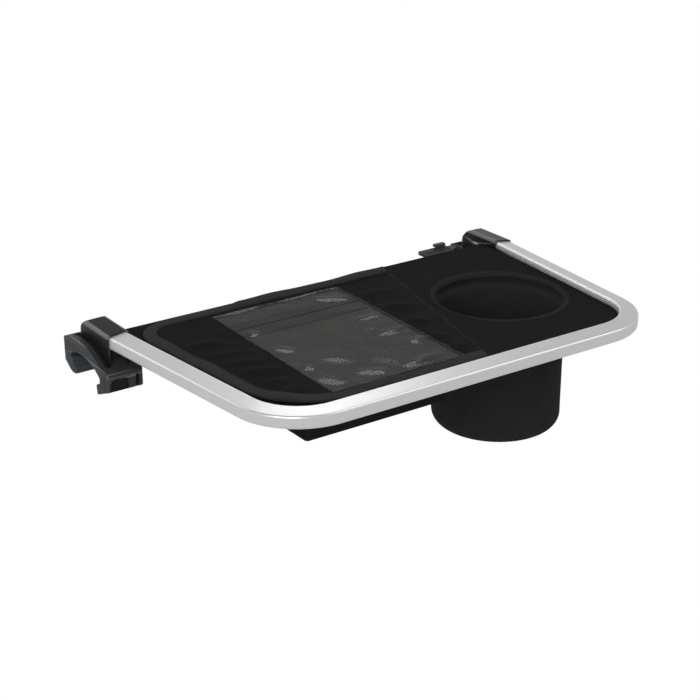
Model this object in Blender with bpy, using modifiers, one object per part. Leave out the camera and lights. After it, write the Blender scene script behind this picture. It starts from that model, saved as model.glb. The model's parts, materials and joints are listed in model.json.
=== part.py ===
"""Stroller tray: a U-shaped aluminium frame with a fabric deck, a pocket with a window lid,
a hanging cup holder and two handlebar clamps on which the tray tilts.

Origin: the handlebar axis, midway between the clamps. X runs to the right along the handlebar,
Y away from the front bar, Z up. All lengths are in metres.
"""

import math

import bmesh
import bpy
from mathutils import Matrix, Vector

# Handlebar and where the frame sits against it
BAR_TO_FRONT = 0.2045
BAR_TO_TOP = 0.0365

# Frame tube
FRONT_HALF_WIDTH = 0.155
ARM_FLARE = math.radians(5.44)
CORNER_RADIUS = 0.048
TUBE_WIDTH = 0.0135
TUBE_OUTER_HEIGHT = 0.0086
TUBE_TOP_RISE = 0.0020
TUBE_TOP_ROUND = 0.0016
TUBE_BOTTOM_ROUND = 0.0020
TUBE_WALL = 0.0014
WEB_THICKNESS = 0.0010
CHAMBER_ROUND = 0.0010
TUBE_END_SETBACK = 0.0148
CORNER_STEPS = 12

# Welt channel and cord on the inner side of the tube
CHANNEL_RADIUS = 0.0025
CHANNEL_SETBACK = 0.0033
CHANNEL_LIP_GAP = 0.0018
DECK_LEVEL = 0.0036
CORD_RADIUS = 0.0021
CORD_END_MARGIN = 0.0020

# General clearances
GAP = 0.0003
OVERRUN = 0.0020
WELD_DISTANCE = 0.000001
TURN_WELD_DISTANCE = 0.00001
EDGE_SOFTENING = 0.0004
FINE_SOFTENING = 0.0002

# Deck panel and rear hem
DECK_THICKNESS = 0.0012
DECK_REACH = 0.0152
HEM_SETBACK = 0.0027
HEM_RADIUS = 0.0025
HEM_BORE = 0.0017
HEM_ROD_RADIUS = 0.0014
HEM_ROD_MARGIN = 0.0030

# Seam between the lid and the cup side
SEAM_CUP_GAP = 0.0071
SEAM_SLOPE = 0.2420
PIPING_RADIUS = 0.0008
PIPING_END_MARGIN = 0.0015

# Lid with window
LID_FRONT = 0.0170
LID_BACK = 0.1915
LID_SIDE_MARGIN = 0.0040
LID_THICKNESS = 0.0012
LID_FRONT_CORNER = 0.0420
LID_BACK_CORNER = 0.0260
LID_SEAM_GAP = 0.0006
BINDING_WIDTH = 0.0092
BINDING_COVER = 0.0008
WINDOW_ARM_MARGIN = 0.0557
WINDOW_SEAM_MARGIN = 0.0098
WINDOW_FRONT = 0.0275
WINDOW_BACK = 0.1763
WINDOW_LEAN = 0.0035
WINDOW_ROUND = 0.0015
FILM_LAP = 0.0014
FILM_THICKNESS = 0.0005
MESH_THICKNESS = 0.0006

# Pocket tub below the lid
POCKET_ARM_MARGIN = 0.0340
POCKET_SEAM_MARGIN = 0.0252
POCKET_FRONT = 0.0250
POCKET_BACK = 0.1810
POCKET_ROUND = 0.0025
POCKET_WALL = 0.0012
POCKET_FLANGE = 0.0045
POCKET_BOTTOM = 0.0276

# Cup holder
CUP_ARM_GAP = 0.0050
CUP_Y = 0.1037
CUP_INNER_RADIUS = 0.0450
CUP_WALL = 0.0012
CUP_BOTTOM = 0.1001
CUP_BOTTOM_ROUND = 0.0100
CUP_FLANGE = 0.0050
CUP_FLANGE_THICKNESS = 0.0012
CUP_ROLL = 0.0032
CUP_BASE_THICKNESS = 0.0020
CUP_BASE_MARGIN = 0.0080
HOOP_THICKNESS = 0.0018
HOOP_HEIGHT = 0.0032
CUP_STEPS = 56

# End caps
CAP_FRONT_REACH = 0.0212
CAP_BACK_REACH = 0.0223
CAP_WALL = 0.00095
CAP_ROUND = 0.0024
CAP_INNER_ROUND = 0.0022
CAP_REAR_ROUND = 0.0260
CAP_REAR_DROP = 0.0194
CAP_REAR_LOW_ANGLE = math.radians(16.0)
CAP_CREASE_ROUND = 0.0100
CAP_REAR_CORNER = 0.0050
CAP_FOOT_WALL = 0.0014
CAP_REAR_WALL = 0.0045
CAP_SLOT_SETBACK = 0.0201
CAP_SLOT_LENGTH = 0.0085
CAP_SLOT_DROP = 0.0054
CAP_SLOT_HEIGHT = 0.0026

# Tilt track: arcs about an axis parallel to the handlebar
TILT_AXIS_OFFSET = 0.0088
TRACK_TOP_DROP = 0.0119
TRACK_RADIUS = 0.0537
FLANGE_RISE = 0.0029
KEY_FLOOR_DEPTH = 0.0036
KEY_HEAD_HEIGHT = 0.0016
KEY_NECK_WIDTH = 0.0052
KEY_HEAD_WIDTH = 0.0090
KEY_CENTRE = math.radians(5.0)
KEY_HALF_ANGLE = math.radians(6.0)
KEY_END_STEP = math.radians(0.3)
TILT_TRAVEL = math.radians(5.0)
TRACK_SPARE = math.radians(1.0)
FOOT_FRONT_REACH = 0.0233
FOOT_BACK_REACH = 0.0062
FOOT_SIDE_MARGIN = 0.0016

# Saddles over the handlebar
SADDLE_PROUD = 0.00874
SADDLE_INNER_MARGIN = 0.0038
FLANGE_THICKNESS = 0.0040
LEG_REACH = 0.0345
LEG_SHOULDER_DROP = 0.0194
LEG_SHOULDER_BACK = 0.0115
LEG_SHOULDER_ROUND = 0.0036
LEG_RELIEF = 0.0005
LEG_RELIEF_RUN = 0.0080
LEG_RELIEF_CORNER = 0.0025
LEG_FRONT_BOTTOM = 0.0330
LEG_BOTTOM = 0.0396
LEG_DEPTH = 0.0129
LEG_CHAMFER = 0.0012
LIP_REACH = 0.0050
LIP_TOP = 0.0312
LIP_STEP = 0.0014
SADDLE_REACH = 0.0310
SADDLE_UNDER = 0.0240
ARCH_BACK_REACH = 0.0200
ARCH_OFFSET = 0.0030
ARCH_DROP = 0.0583
ARCH_RADIUS = 0.0400
ARCH_STEPS = 14
TRACK_FRONT_WALL = 0.0087
END_WALL = 0.0033
SADDLE_FRONT_CORNER = 0.0012
SADDLE_REAR_CORNER = 0.0016
GRIP_THICKNESS = 0.0013
GRIP_FRONT_ANGLE = math.radians(28.0)
GRIP_BACK_ANGLE = math.radians(20.0)
GRIP_SIDE_MARGIN = 0.0020

# Panel and slot in the front face of each leg
PANEL_OUTER_MARGIN = 0.0021
PANEL_INNER_MARGIN = 0.0104
PANEL_TOP = 0.0246
PANEL_BOTTOM = 0.0420
PANEL_DEPTH = 0.0014
PANEL_ROUND = 0.0030
LEG_SLOT_MARGIN = 0.0025
LEG_SLOT_WIDTH = 0.0028
LEG_SLOT_TOP = 0.0238
LEG_SLOT_BOTTOM = 0.0420
LEG_SLOT_DEPTH = 0.0040
LEG_SLOT_ROUND = 0.0013

# Toothed strips beside the caps
STRIP_SIDE_GAP = 0.0006
STRIP_HEIGHT = 0.0014
TOOTH_HEIGHT = 0.0007
TOOTH_COUNT = 44
STRIP_FRONT_MARGIN = 0.0030
STRIP_BACK_MARGIN = 0.0005

# Swinging jaws and their pins
JAW_PIN_REACH = 0.0245
JAW_PIN_DROP = 0.0209
JAW_PIN_RADIUS = 0.0013
JAW_PIN_BORE = 0.0016
JAW_PIN_MARGIN = 0.0020
KNUCKLE_RADIUS = 0.0031
KNUCKLE_POCKET = 0.0036
KNUCKLE_HALF_WIDTH = 0.0064
KNUCKLE_SIDE_GAP = 0.0004
JAW_TOP = 0.0244
JAW_TOP_EASE = 0.0010
JAW_PROUD = 0.0003
JAW_HEEL = 0.0294
JAW_BOTTOM_SETBACK = 0.0016
JAW_BOTTOM_BACK_DROP = 0.0351
JAW_TIP_REACH = 0.0167
JAW_TIP_DROP = 0.0376
JAW_FACE_LEAD = 0.0005
JAW_NECK_HALF = 0.0022
JAW_RIBS = 4
JAW_RIB_HEIGHT = 0.0007
JAW_END_GAP = 0.0002
JAW_FRONT_CORNER = 0.0045
JAW_REAR_CORNER = 0.0016
JAW_TIP_ROUND = 0.0007
JAW_BOTTOM_ROUND = 0.0020

# Release tongue, its button and the lug that carries them on the right saddle
LUG_WIDTH = 0.0093
LUG_SIDE_GAP = 0.0004
LUG_NECK_STEP = 0.0030
LUG_OVERLAP = 0.0020
LUG_REACH = 0.0108
LUG_LENGTH = 0.0126
LUG_TOP = 0.0114
LUG_NECK_TOP = 0.0164
LUG_BOTTOM = 0.0188
EAR_THICKNESS = 0.0026
LUG_WEB = 0.0018
TONGUE_PIN_SETBACK = 0.0037
TONGUE_PIN_DROP = 0.0138
TONGUE_PIN_RADIUS = 0.0010
TONGUE_PIN_BORE = 0.0013
TONGUE_PIN_MARGIN = 0.0010
TONGUE_KNUCKLE = 0.0024
TONGUE_LENGTH = 0.0266
TONGUE_ROOT_STEP = 0.0010
TONGUE_TOP = 0.0103
TONGUE_THICKNESS = 0.0024
TONGUE_TIP_ROUND = 0.0015
TONGUE_RIBS = 5
TONGUE_RIB_HEIGHT = 0.0004
TONGUE_RIB_PITCH = 0.0016
TONGUE_RIB_MARGIN = 0.0012
BUTTON_WIDTH = 0.0102
BUTTON_SETBACK = 0.0015
BUTTON_LENGTH = 0.0044
BUTTON_PROUD = 0.0013
BUTTON_HEIGHT = 0.0016
BUTTON_ROUND = 0.0012
BUTTON_TRAVEL = 0.0008
STEM_MARGIN = 0.0020
STEM_THICKNESS = 0.0014
STEM_FOOT_MARGIN = 0.0008
STEM_FOOT_THICKNESS = 0.0012

ROUND_STEPS = 32
FINE_STEPS = 4


def clear_scene():
    for obj in list(bpy.data.objects):
        bpy.data.objects.remove(obj, do_unlink=True)
    for group in list(bpy.data.collections):
        bpy.data.collections.remove(group)


clear_scene()
PART = bpy.data.collections.new("stroller_tray")
CUTTERS = bpy.data.collections.new("cutters")
bpy.context.scene.collection.children.link(PART)
bpy.context.scene.collection.children.link(CUTTERS)


def material(name, colour, metallic, roughness):
    mat = bpy.data.materials.new(name)
    mat.use_nodes = True
    shader = mat.node_tree.nodes["Principled BSDF"]
    shader.inputs["Base Color"].default_value = (*colour, 1.0)
    shader.inputs["Metallic"].default_value = metallic
    shader.inputs["Roughness"].default_value = roughness
    return mat


LOOKS = {
    "aluminium": ((0.62, 0.63, 0.64), 1.0, 0.34),
    "steel": ((0.55, 0.55, 0.56), 1.0, 0.30),
    "cap": ((0.022, 0.022, 0.023), 0.0, 0.38),
    "housing": ((0.045, 0.046, 0.048), 0.0, 0.55),
    "slate": ((0.060, 0.072, 0.082), 0.0, 0.50),
    "rubber": ((0.020, 0.020, 0.021), 0.0, 0.80),
    "fabric": ((0.012, 0.012, 0.013), 0.0, 0.90),
    "stretch": ((0.010, 0.010, 0.011), 0.0, 0.85),
    "binding": ((0.040, 0.040, 0.042), 0.0, 0.75),
    "film": ((0.350, 0.350, 0.340), 0.0, 0.15),
    "mesh": ((0.060, 0.058, 0.052), 0.0, 0.80),
    "board": ((0.030, 0.030, 0.030), 0.0, 0.70),
}


def finish(obj, name, look, smooth=False):
    """Names the object, gives it its own material and moves it to the part collection."""
    colour, metallic, roughness = LOOKS[look]
    obj.name = name
    obj.data.name = name
    obj.data.materials.clear()
    obj.data.materials.append(material(name + "_surface", colour, metallic, roughness))
    for owner in list(obj.users_collection):
        owner.objects.unlink(obj)
    PART.objects.link(obj)
    for face in obj.data.polygons:
        face.use_smooth = smooth
    return obj


def weld(obj, distance=WELD_DISTANCE):
    shape = bmesh.new()
    shape.from_mesh(obj.data)
    bmesh.ops.remove_doubles(shape, verts=shape.verts, dist=distance)
    bmesh.ops.dissolve_degenerate(shape, edges=shape.edges, dist=distance)
    bmesh.ops.recalc_face_normals(shape, faces=shape.faces)
    shape.to_mesh(obj.data)
    shape.free()
    return obj


def mesh_of(curve_obj, matrix):
    """Turns a curve object into a mesh object placed by the matrix."""
    view = bpy.context.evaluated_depsgraph_get()
    body = bpy.data.meshes.new_from_object(curve_obj.evaluated_get(view))
    body.transform(matrix)
    obj = bpy.data.objects.new("piece", body)
    bpy.context.scene.collection.objects.link(obj)
    bpy.data.objects.remove(curve_obj, do_unlink=True)
    return weld(obj)


def outline(points, low, high, matrix):
    """A flat closed outline, extruded between two heights along its own normal."""
    data = bpy.data.curves.new("outline", "CURVE")
    data.dimensions = "2D"
    data.fill_mode = "BOTH"
    data.extrude = (high - low) / 2.0
    line = data.splines.new("POLY")
    line.points.add(len(points) - 1)
    for spot, (u, v) in zip(line.points, points):
        spot.co = (u, v, 0.0, 1.0)
    line.use_cyclic_u = True
    obj = bpy.data.objects.new("outline", data)
    bpy.context.scene.collection.objects.link(obj)
    lift = Matrix.Translation((0.0, 0.0, (low + high) / 2.0))
    return mesh_of(obj, matrix @ lift)


SIDEWAYS = Matrix(((0, 0, 1, 0), (1, 0, 0, 0), (0, 1, 0, 0), (0, 0, 0, 1)))
LENGTHWAYS = Matrix(((1, 0, 0, 0), (0, 0, 1, 0), (0, -1, 0, 0), (0, 0, 0, 1)))


def place(y, z):
    """Frame depth and drop below the tube top, given in the coordinates of the handlebar."""
    return (y - BAR_TO_FRONT, BAR_TO_TOP + z)


def across(points, x_one, x_two):
    """A side outline given as depth and height, extruded along the handlebar."""
    spots = [place(y, z) for y, z in points]
    return outline(spots, min(x_one, x_two), max(x_one, x_two), SIDEWAYS)


def level(points, z_low, z_high):
    """A plan outline given as width and depth, extruded upwards."""
    spots = [(x, y - BAR_TO_FRONT) for x, y in points]
    return outline(spots, BAR_TO_TOP + z_low, BAR_TO_TOP + z_high, Matrix.Identity(4))


def endways(points, y_low, y_high):
    """A front outline given as width and height, extruded along the depth."""
    spots = [(x, -(BAR_TO_TOP + z)) for x, z in points]
    return outline(spots, y_low - BAR_TO_FRONT, y_high - BAR_TO_FRONT, LENGTHWAYS)


def arc(cu, cv, radius, start, end, steps):
    """Points on an arc. Angles are measured from the first axis."""
    turn = (end - start) / steps
    return [
        (cu + radius * math.cos(start + turn * k), cv + radius * math.sin(start + turn * k))
        for k in range(steps + 1)
    ]


def rounded(corners, radii, steps=FINE_STEPS):
    """A closed outline whose corners are rounded, each by its own radius."""
    points = []
    count = len(corners)
    for k in range(count):
        here = Vector(corners[k])
        before = (Vector(corners[k - 1]) - here).normalized()
        after = (Vector(corners[(k + 1) % count]) - here).normalized()
        radius = radii[k]
        if radius == 0.0:
            points.append(tuple(here))
            continue
        half = before.angle(after) / 2.0
        run = radius / math.tan(half)
        centre = here + (before + after).normalized() * (radius / math.sin(half))
        first = here + before * run - centre
        last = here + after * run - centre
        start = math.atan2(first.y, first.x)
        turn = math.atan2(last.y, last.x) - start
        turn = (turn + math.pi) % (2.0 * math.pi) - math.pi
        points += arc(centre.x, centre.y, radius, start, start + turn, steps)
    return points


def box(x_low, x_high, y_low, y_high):
    return [(x_low, y_low), (x_high, y_low), (x_high, y_high), (x_low, y_high)]


def cut(obj, cutters, kind="DIFFERENCE"):
    """Applies Booleans one after the other and keeps the cutters as hidden wire shapes."""
    for tool in cutters:
        step = obj.modifiers.new("cut", "BOOLEAN")
        step.operation = kind
        step.solver = "EXACT"
        step.object = tool
        bpy.context.view_layer.update()
        view = bpy.context.evaluated_depsgraph_get()
        body = bpy.data.meshes.new_from_object(obj.evaluated_get(view))
        obj.modifiers.clear()
        old = obj.data
        obj.data = body
        bpy.data.meshes.remove(old)
        bpy.data.objects.remove(tool, do_unlink=True)
        weld(obj)
    return obj


def soften(obj, width, segments=2, angle=35.0):
    """Rounds the sharp edges."""
    step = obj.modifiers.new("soften", "BEVEL")
    step.width = width
    step.segments = segments
    step.limit_method = "ANGLE"
    step.angle_limit = math.radians(angle)
    step.harden_normals = False
    view = bpy.context.evaluated_depsgraph_get()
    body = bpy.data.meshes.new_from_object(obj.evaluated_get(view))
    obj.modifiers.clear()
    old = obj.data
    obj.data = body
    bpy.data.meshes.remove(old)
    return weld(obj)


def sweep(path, profile):
    """A profile, given as outward and upward distances, carried along a level path."""
    shape = bpy.data.curves.new("profile", "CURVE")
    shape.dimensions = "2D"
    shape.fill_mode = "NONE"
    ring = shape.splines.new("POLY")
    ring.points.add(len(profile) - 1)
    for spot, (u, v) in zip(ring.points, profile):
        spot.co = (u, v, 0.0, 1.0)
    ring.use_cyclic_u = True
    section = bpy.data.objects.new("profile", shape)
    bpy.context.scene.collection.objects.link(section)
    data = bpy.data.curves.new("path", "CURVE")
    data.dimensions = "3D"
    data.twist_mode = "Z_UP"
    data.bevel_mode = "OBJECT"
    data.bevel_object = section
    data.use_fill_caps = True
    line = data.splines.new("POLY")
    line.points.add(len(path) - 1)
    for spot, (x, y) in zip(line.points, path):
        spot.co = (x, y - BAR_TO_FRONT, BAR_TO_TOP, 1.0)
    obj = bpy.data.objects.new("path", data)
    bpy.context.scene.collection.objects.link(obj)
    body = mesh_of(obj, Matrix.Identity(4))
    bpy.data.objects.remove(section, do_unlink=True)
    return body


def turned(profile, x, y, steps):
    """A closed profile of radius and height, turned about an upright axis."""
    body = bpy.data.meshes.new("turned")
    count = len(profile)
    spots = [(r, 0.0, BAR_TO_TOP + z) for r, z in profile]
    edges = [(k, (k + 1) % count) for k in range(count)]
    body.from_pydata(spots, edges, [])
    obj = bpy.data.objects.new("turned", body)
    bpy.context.scene.collection.objects.link(obj)
    step = obj.modifiers.new("turn", "SCREW")
    step.axis = "Z"
    step.angle = 2.0 * math.pi
    step.steps = steps
    step.render_steps = steps
    step.use_merge_vertices = True
    step.merge_threshold = TURN_WELD_DISTANCE
    step.use_normal_calculate = True
    view = bpy.context.evaluated_depsgraph_get()
    result = bpy.data.meshes.new_from_object(obj.evaluated_get(view))
    result.transform(Matrix.Translation((x, y - BAR_TO_FRONT, 0.0)))
    obj.modifiers.clear()
    obj.data = result
    bpy.data.meshes.remove(body)
    return weld(obj, TURN_WELD_DISTANCE)


def rod(radius, start, end, steps=ROUND_STEPS):
    """A round rod between two points given in frame coordinates."""
    one = Vector((start[0], *place(start[1], start[2])))
    two = Vector((end[0], *place(end[1], end[2])))
    shape = bmesh.new()
    bmesh.ops.create_cone(
        shape, cap_ends=True, segments=steps, radius1=radius, radius2=radius, depth=(two - one).length
    )
    turn = (two - one).to_track_quat("Z", "Y").to_matrix().to_4x4()
    bmesh.ops.transform(shape, matrix=Matrix.Translation((one + two) / 2.0) @ turn, verts=shape.verts)
    body = bpy.data.meshes.new("rod")
    shape.to_mesh(body)
    shape.free()
    obj = bpy.data.objects.new("rod", body)
    bpy.context.scene.collection.objects.link(obj)
    return obj


def set_origin(obj, x, y, z):
    """Moves the origin of a piece onto a point of its joint axis."""
    spot = Vector((x, *place(y, z)))
    obj.data.transform(Matrix.Translation(-spot))
    obj.location = spot
    return obj


# Lines of the frame, offset inwards from its outer face
FLARE_SLOPE = math.tan(ARM_FLARE)
CAP_FRONT = BAR_TO_FRONT - CAP_FRONT_REACH
CAP_HALF_WIDTH = FRONT_HALF_WIDTH + FLARE_SLOPE * CAP_FRONT

# Places in depth, worked out from the handlebar
CAP_BACK = BAR_TO_FRONT + CAP_BACK_REACH
ARM_LENGTH = CAP_BACK - TUBE_END_SETBACK
DECK_BACK = CAP_FRONT + DECK_REACH
CAP_SLOT_FRONT = CAP_FRONT + CAP_SLOT_SETBACK
CAP_SLOT_BACK = CAP_SLOT_FRONT + CAP_SLOT_LENGTH
TILT_AXIS_BACK = BAR_TO_FRONT + TILT_AXIS_OFFSET
TILT_AXIS_DROP = TRACK_TOP_DROP + TRACK_RADIUS
FOOT_FRONT = TILT_AXIS_BACK - FOOT_FRONT_REACH
FOOT_BACK = TILT_AXIS_BACK + FOOT_BACK_REACH
LEG_FRONT = BAR_TO_FRONT - LEG_REACH
LEG_BACK = LEG_FRONT + LEG_DEPTH
LIP_BACK = LEG_BACK + LIP_REACH
SADDLE_BACK = BAR_TO_FRONT + SADDLE_REACH
ARCH_BACK = BAR_TO_FRONT + ARCH_BACK_REACH
ARCH_CENTRE = BAR_TO_FRONT + ARCH_OFFSET
TRACK_POCKET_FRONT = LEG_FRONT + TRACK_FRONT_WALL
END_WALL_FRONT = SADDLE_BACK - END_WALL
JAW_PIN_BACK = BAR_TO_FRONT + JAW_PIN_REACH
JAW_BACK = SADDLE_BACK + JAW_PROUD
JAW_BOTTOM_BACK = JAW_PIN_BACK - JAW_BOTTOM_SETBACK
JAW_TIP = BAR_TO_FRONT + JAW_TIP_REACH
JAW_FACE_TOP = ARCH_BACK - JAW_FACE_LEAD
LUG_FRONT = BAR_TO_FRONT + LUG_REACH
LUG_BACK = LUG_FRONT + LUG_LENGTH
BUTTON_BACK = LUG_BACK + BUTTON_PROUD
BUTTON_FRONT = BUTTON_BACK - BUTTON_LENGTH

# Places to the side, worked out from the arms: the cup beside the right arm, the seam beside the cup
CUP_REACH = CUP_INNER_RADIUS + CUP_FLANGE
CUP_ASIDE = TUBE_WIDTH + CUP_ARM_GAP + CUP_REACH
CUP_X = FRONT_HALF_WIDTH + FLARE_SLOPE * CUP_Y - CUP_ASIDE / math.cos(ARM_FLARE)
SEAM_ASIDE = (CUP_REACH + SEAM_CUP_GAP) * math.hypot(1.0, SEAM_SLOPE)
SEAM_FRONT_X = CUP_X - SEAM_SLOPE * CUP_Y - SEAM_ASIDE
WINDOW_LEFT = FRONT_HALF_WIDTH - WINDOW_ARM_MARGIN
WINDOW_RIGHT = SEAM_FRONT_X - WINDOW_SEAM_MARGIN
POCKET_LEFT = FRONT_HALF_WIDTH - POCKET_ARM_MARGIN
POCKET_INNER = POCKET_SEAM_MARGIN - SEAM_FRONT_X

# Places to the side, worked out from the tube where the caps hold it
SADDLE_OUTER = CAP_HALF_WIDTH + SADDLE_PROUD
SADDLE_INNER = CAP_HALF_WIDTH - TUBE_WIDTH - SADDLE_INNER_MARGIN
LUG_OUTER = SADDLE_INNER - LUG_SIDE_GAP
LUG_INNER = LUG_OUTER - LUG_WIDTH
LUG_NECK_INNER = LUG_INNER + LUG_NECK_STEP
LUG_SLOT_OUTER = LUG_OUTER - LUG_WEB
TONGUE_PIN_X = LUG_SLOT_OUTER - TONGUE_PIN_SETBACK
TONGUE_ROOT = LUG_INNER - TONGUE_ROOT_STEP
TONGUE_END = TONGUE_ROOT - TONGUE_LENGTH
BUTTON_RIGHT = TONGUE_ROOT - BUTTON_SETBACK
BUTTON_LEFT = BUTTON_RIGHT - BUTTON_WIDTH


def frame_line(inset, end, end_inset=0.0):
    """The U of the frame from the left arm over the front to the right arm."""
    lean = 1.0 / math.cos(ARM_FLARE)
    centre = FRONT_HALF_WIDTH + (FLARE_SLOPE - lean) * CORNER_RADIUS
    bend = CAP_FRONT + inset * (lean - 1.0) / FLARE_SLOPE
    right = [(CAP_HALF_WIDTH - inset - end_inset, end)]
    if end > bend:
        right.append((CAP_HALF_WIDTH - inset, bend))
    right += arc(
        centre, CORNER_RADIUS, CORNER_RADIUS - inset, -ARM_FLARE, -math.pi / 2.0, CORNER_STEPS
    )
    left = [(-x, y) for x, y in right]
    return left + right[::-1]


def flared_line(inset, end):
    """The same U, but ending on the flared arms, before the caps."""
    lean = 1.0 / math.cos(ARM_FLARE)
    centre = FRONT_HALF_WIDTH + (FLARE_SLOPE - lean) * CORNER_RADIUS
    right = [(FRONT_HALF_WIDTH + FLARE_SLOPE * end - inset * lean, end)]
    right += arc(
        centre, CORNER_RADIUS, CORNER_RADIUS - inset, -ARM_FLARE, -math.pi / 2.0, CORNER_STEPS
    )
    left = [(-x, y) for x, y in right]
    return left + right[::-1]


HALF_TUBE = TUBE_WIDTH / 2.0


def tube_section(grow):
    """Rounded section of the tube, whose top slopes down to its outer side."""
    side = HALF_TUBE + grow
    slope = TUBE_TOP_RISE / TUBE_WIDTH
    corners = [
        (side, -TUBE_OUTER_HEIGHT - grow),
        (side, grow - slope * grow),
        (-side, TUBE_TOP_RISE + grow + slope * grow),
        (-side, -TUBE_OUTER_HEIGHT - grow),
    ]
    radii = [
        TUBE_BOTTOM_ROUND + grow,
        TUBE_TOP_ROUND + grow,
        TUBE_TOP_ROUND + grow,
        TUBE_BOTTOM_ROUND + grow,
    ]
    return rounded(corners, radii)


# Frame tube with a hollow chamber and an open channel for the welt cord
tube = sweep(frame_line(HALF_TUBE, ARM_LENGTH), tube_section(0.0))
channel_centre = -HALF_TUBE + CHANNEL_SETBACK
chamber_inner = channel_centre + CHANNEL_RADIUS + WEB_THICKNESS
chamber = rounded(
    box(chamber_inner, HALF_TUBE - TUBE_WALL, -TUBE_OUTER_HEIGHT + TUBE_WALL, -TUBE_WALL),
    [CHAMBER_ROUND] * 4,
)
lip_angle = math.asin(CHANNEL_LIP_GAP / 2.0 / CHANNEL_RADIUS)
channel = arc(
    channel_centre, -DECK_LEVEL, CHANNEL_RADIUS, math.pi - lip_angle, -math.pi + lip_angle, 20
)
mouth = -HALF_TUBE - OVERRUN
channel += [
    (mouth, -DECK_LEVEL - CHANNEL_LIP_GAP / 2.0),
    (mouth, -DECK_LEVEL + CHANNEL_LIP_GAP / 2.0),
]
long_line = frame_line(HALF_TUBE, ARM_LENGTH + OVERRUN)
cut(tube, [sweep(long_line, chamber), sweep(long_line, channel)])
finish(tube, "frame_tube", "aluminium", smooth=True)

cord_line = frame_line(HALF_TUBE - channel_centre, ARM_LENGTH - CORD_END_MARGIN)
cord = sweep(cord_line, arc(0.0, -DECK_LEVEL, CORD_RADIUS, 0.0, 2.0 * math.pi * 11 / 12, 11))
finish(cord, "welt_cord", "fabric", smooth=True)

# Deck panel with the pocket opening and the cup hole
deck_inset = HALF_TUBE - channel_centre + CORD_RADIUS + GAP
deck_half_back = CAP_HALF_WIDTH - TUBE_WIDTH - GAP - CAP_WALL - GAP
deck_line = flared_line(deck_inset, CAP_FRONT - GAP - GAP)
deck_line = [(-deck_half_back, DECK_BACK), (-deck_half_back, CAP_FRONT - GAP - GAP)] + deck_line
deck_line += [(deck_half_back, CAP_FRONT - GAP - GAP), (deck_half_back, DECK_BACK)]
deck_top = -DECK_LEVEL + DECK_THICKNESS / 2.0
deck_under = deck_top - DECK_THICKNESS
deck = level(deck_line, deck_under, deck_top)
pocket_box = box(-POCKET_LEFT, -POCKET_INNER, POCKET_FRONT, POCKET_BACK)
pocket_mouth = level(
    rounded(pocket_box, [POCKET_ROUND] * 4), deck_under - OVERRUN, deck_top + OVERRUN
)
cup_hole = rod(
    CUP_INNER_RADIUS + CUP_ROLL + GAP,
    (CUP_X, CUP_Y, deck_under - OVERRUN),
    (CUP_X, CUP_Y, deck_top + OVERRUN),
    CUP_STEPS,
)
cut(deck, [pocket_mouth, cup_hole])
finish(deck, "deck_panel", "fabric")

# Rear hem with its stiffening rod
hem_y = DECK_BACK - HEM_SETBACK
hem_z = deck_under - GAP - HEM_RADIUS
hem = rod(HEM_RADIUS, (-deck_half_back, hem_y, hem_z), (deck_half_back, hem_y, hem_z), 20)
hem_end = deck_half_back + OVERRUN
bore = rod(HEM_BORE, (-hem_end, hem_y, hem_z), (hem_end, hem_y, hem_z), 20)
cut(hem, [bore])
finish(hem, "rear_hem", "fabric", smooth=True)
rod_end = deck_half_back - HEM_ROD_MARGIN
hem_rod = rod(HEM_ROD_RADIUS, (-rod_end, hem_y, hem_z), (rod_end, hem_y, hem_z), 20)
finish(hem_rod, "rear_hem_rod", "steel", smooth=True)


# Lid: a stiffened panel with a window, hinged on the slanting seam
def seam_x(y):
    return SEAM_FRONT_X + SEAM_SLOPE * y


def lid_line(shrink):
    """Outline of the lid, drawn in by the given amount on its three free sides."""
    lean = 1.0 / math.cos(ARM_FLARE)
    side = LID_SIDE_MARGIN + TUBE_WIDTH + shrink

    def left(y):
        return -(FRONT_HALF_WIDTH + FLARE_SLOPE * y - side * lean)

    front = LID_FRONT + shrink
    back = LID_BACK - shrink
    corners = [
        (left(front), front),
        (seam_x(front) - LID_SEAM_GAP - PIPING_RADIUS, front),
        (seam_x(back) - LID_SEAM_GAP - PIPING_RADIUS, back),
        (left(back), back),
    ]
    return rounded(corners, [LID_FRONT_CORNER - shrink, 0.0, 0.0, LID_BACK_CORNER - shrink], 12)


def window_line(grow, front_grow):
    """Outline of the window, whose sides lean a little the way of the seam."""
    left = -WINDOW_LEFT - grow
    right = WINDOW_RIGHT + grow
    corners = [
        (left, WINDOW_FRONT - front_grow),
        (right, WINDOW_FRONT - front_grow),
        (right + WINDOW_LEAN, WINDOW_BACK + grow),
        (left + WINDOW_LEAN, WINDOW_BACK + grow),
    ]
    return rounded(corners, [WINDOW_ROUND] * 4)


lid_under = deck_top + GAP
lid_top = lid_under + LID_THICKNESS
lid = level(lid_line(BINDING_COVER + GAP), lid_under + BINDING_COVER, lid_top + BINDING_COVER)
window = level(window_line(0.0, 0.0), lid_under - OVERRUN, lid_top + BINDING_COVER + OVERRUN)
cut(lid, [window])
finish(lid, "lid_panel", "stretch")

hinge_y = (LID_FRONT + LID_BACK) / 2.0
hinge_z = lid_under + BINDING_COVER + LID_THICKNESS / 2.0


def on_seam(obj):
    return set_origin(obj, seam_x(hinge_y), hinge_y, hinge_z)


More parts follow.
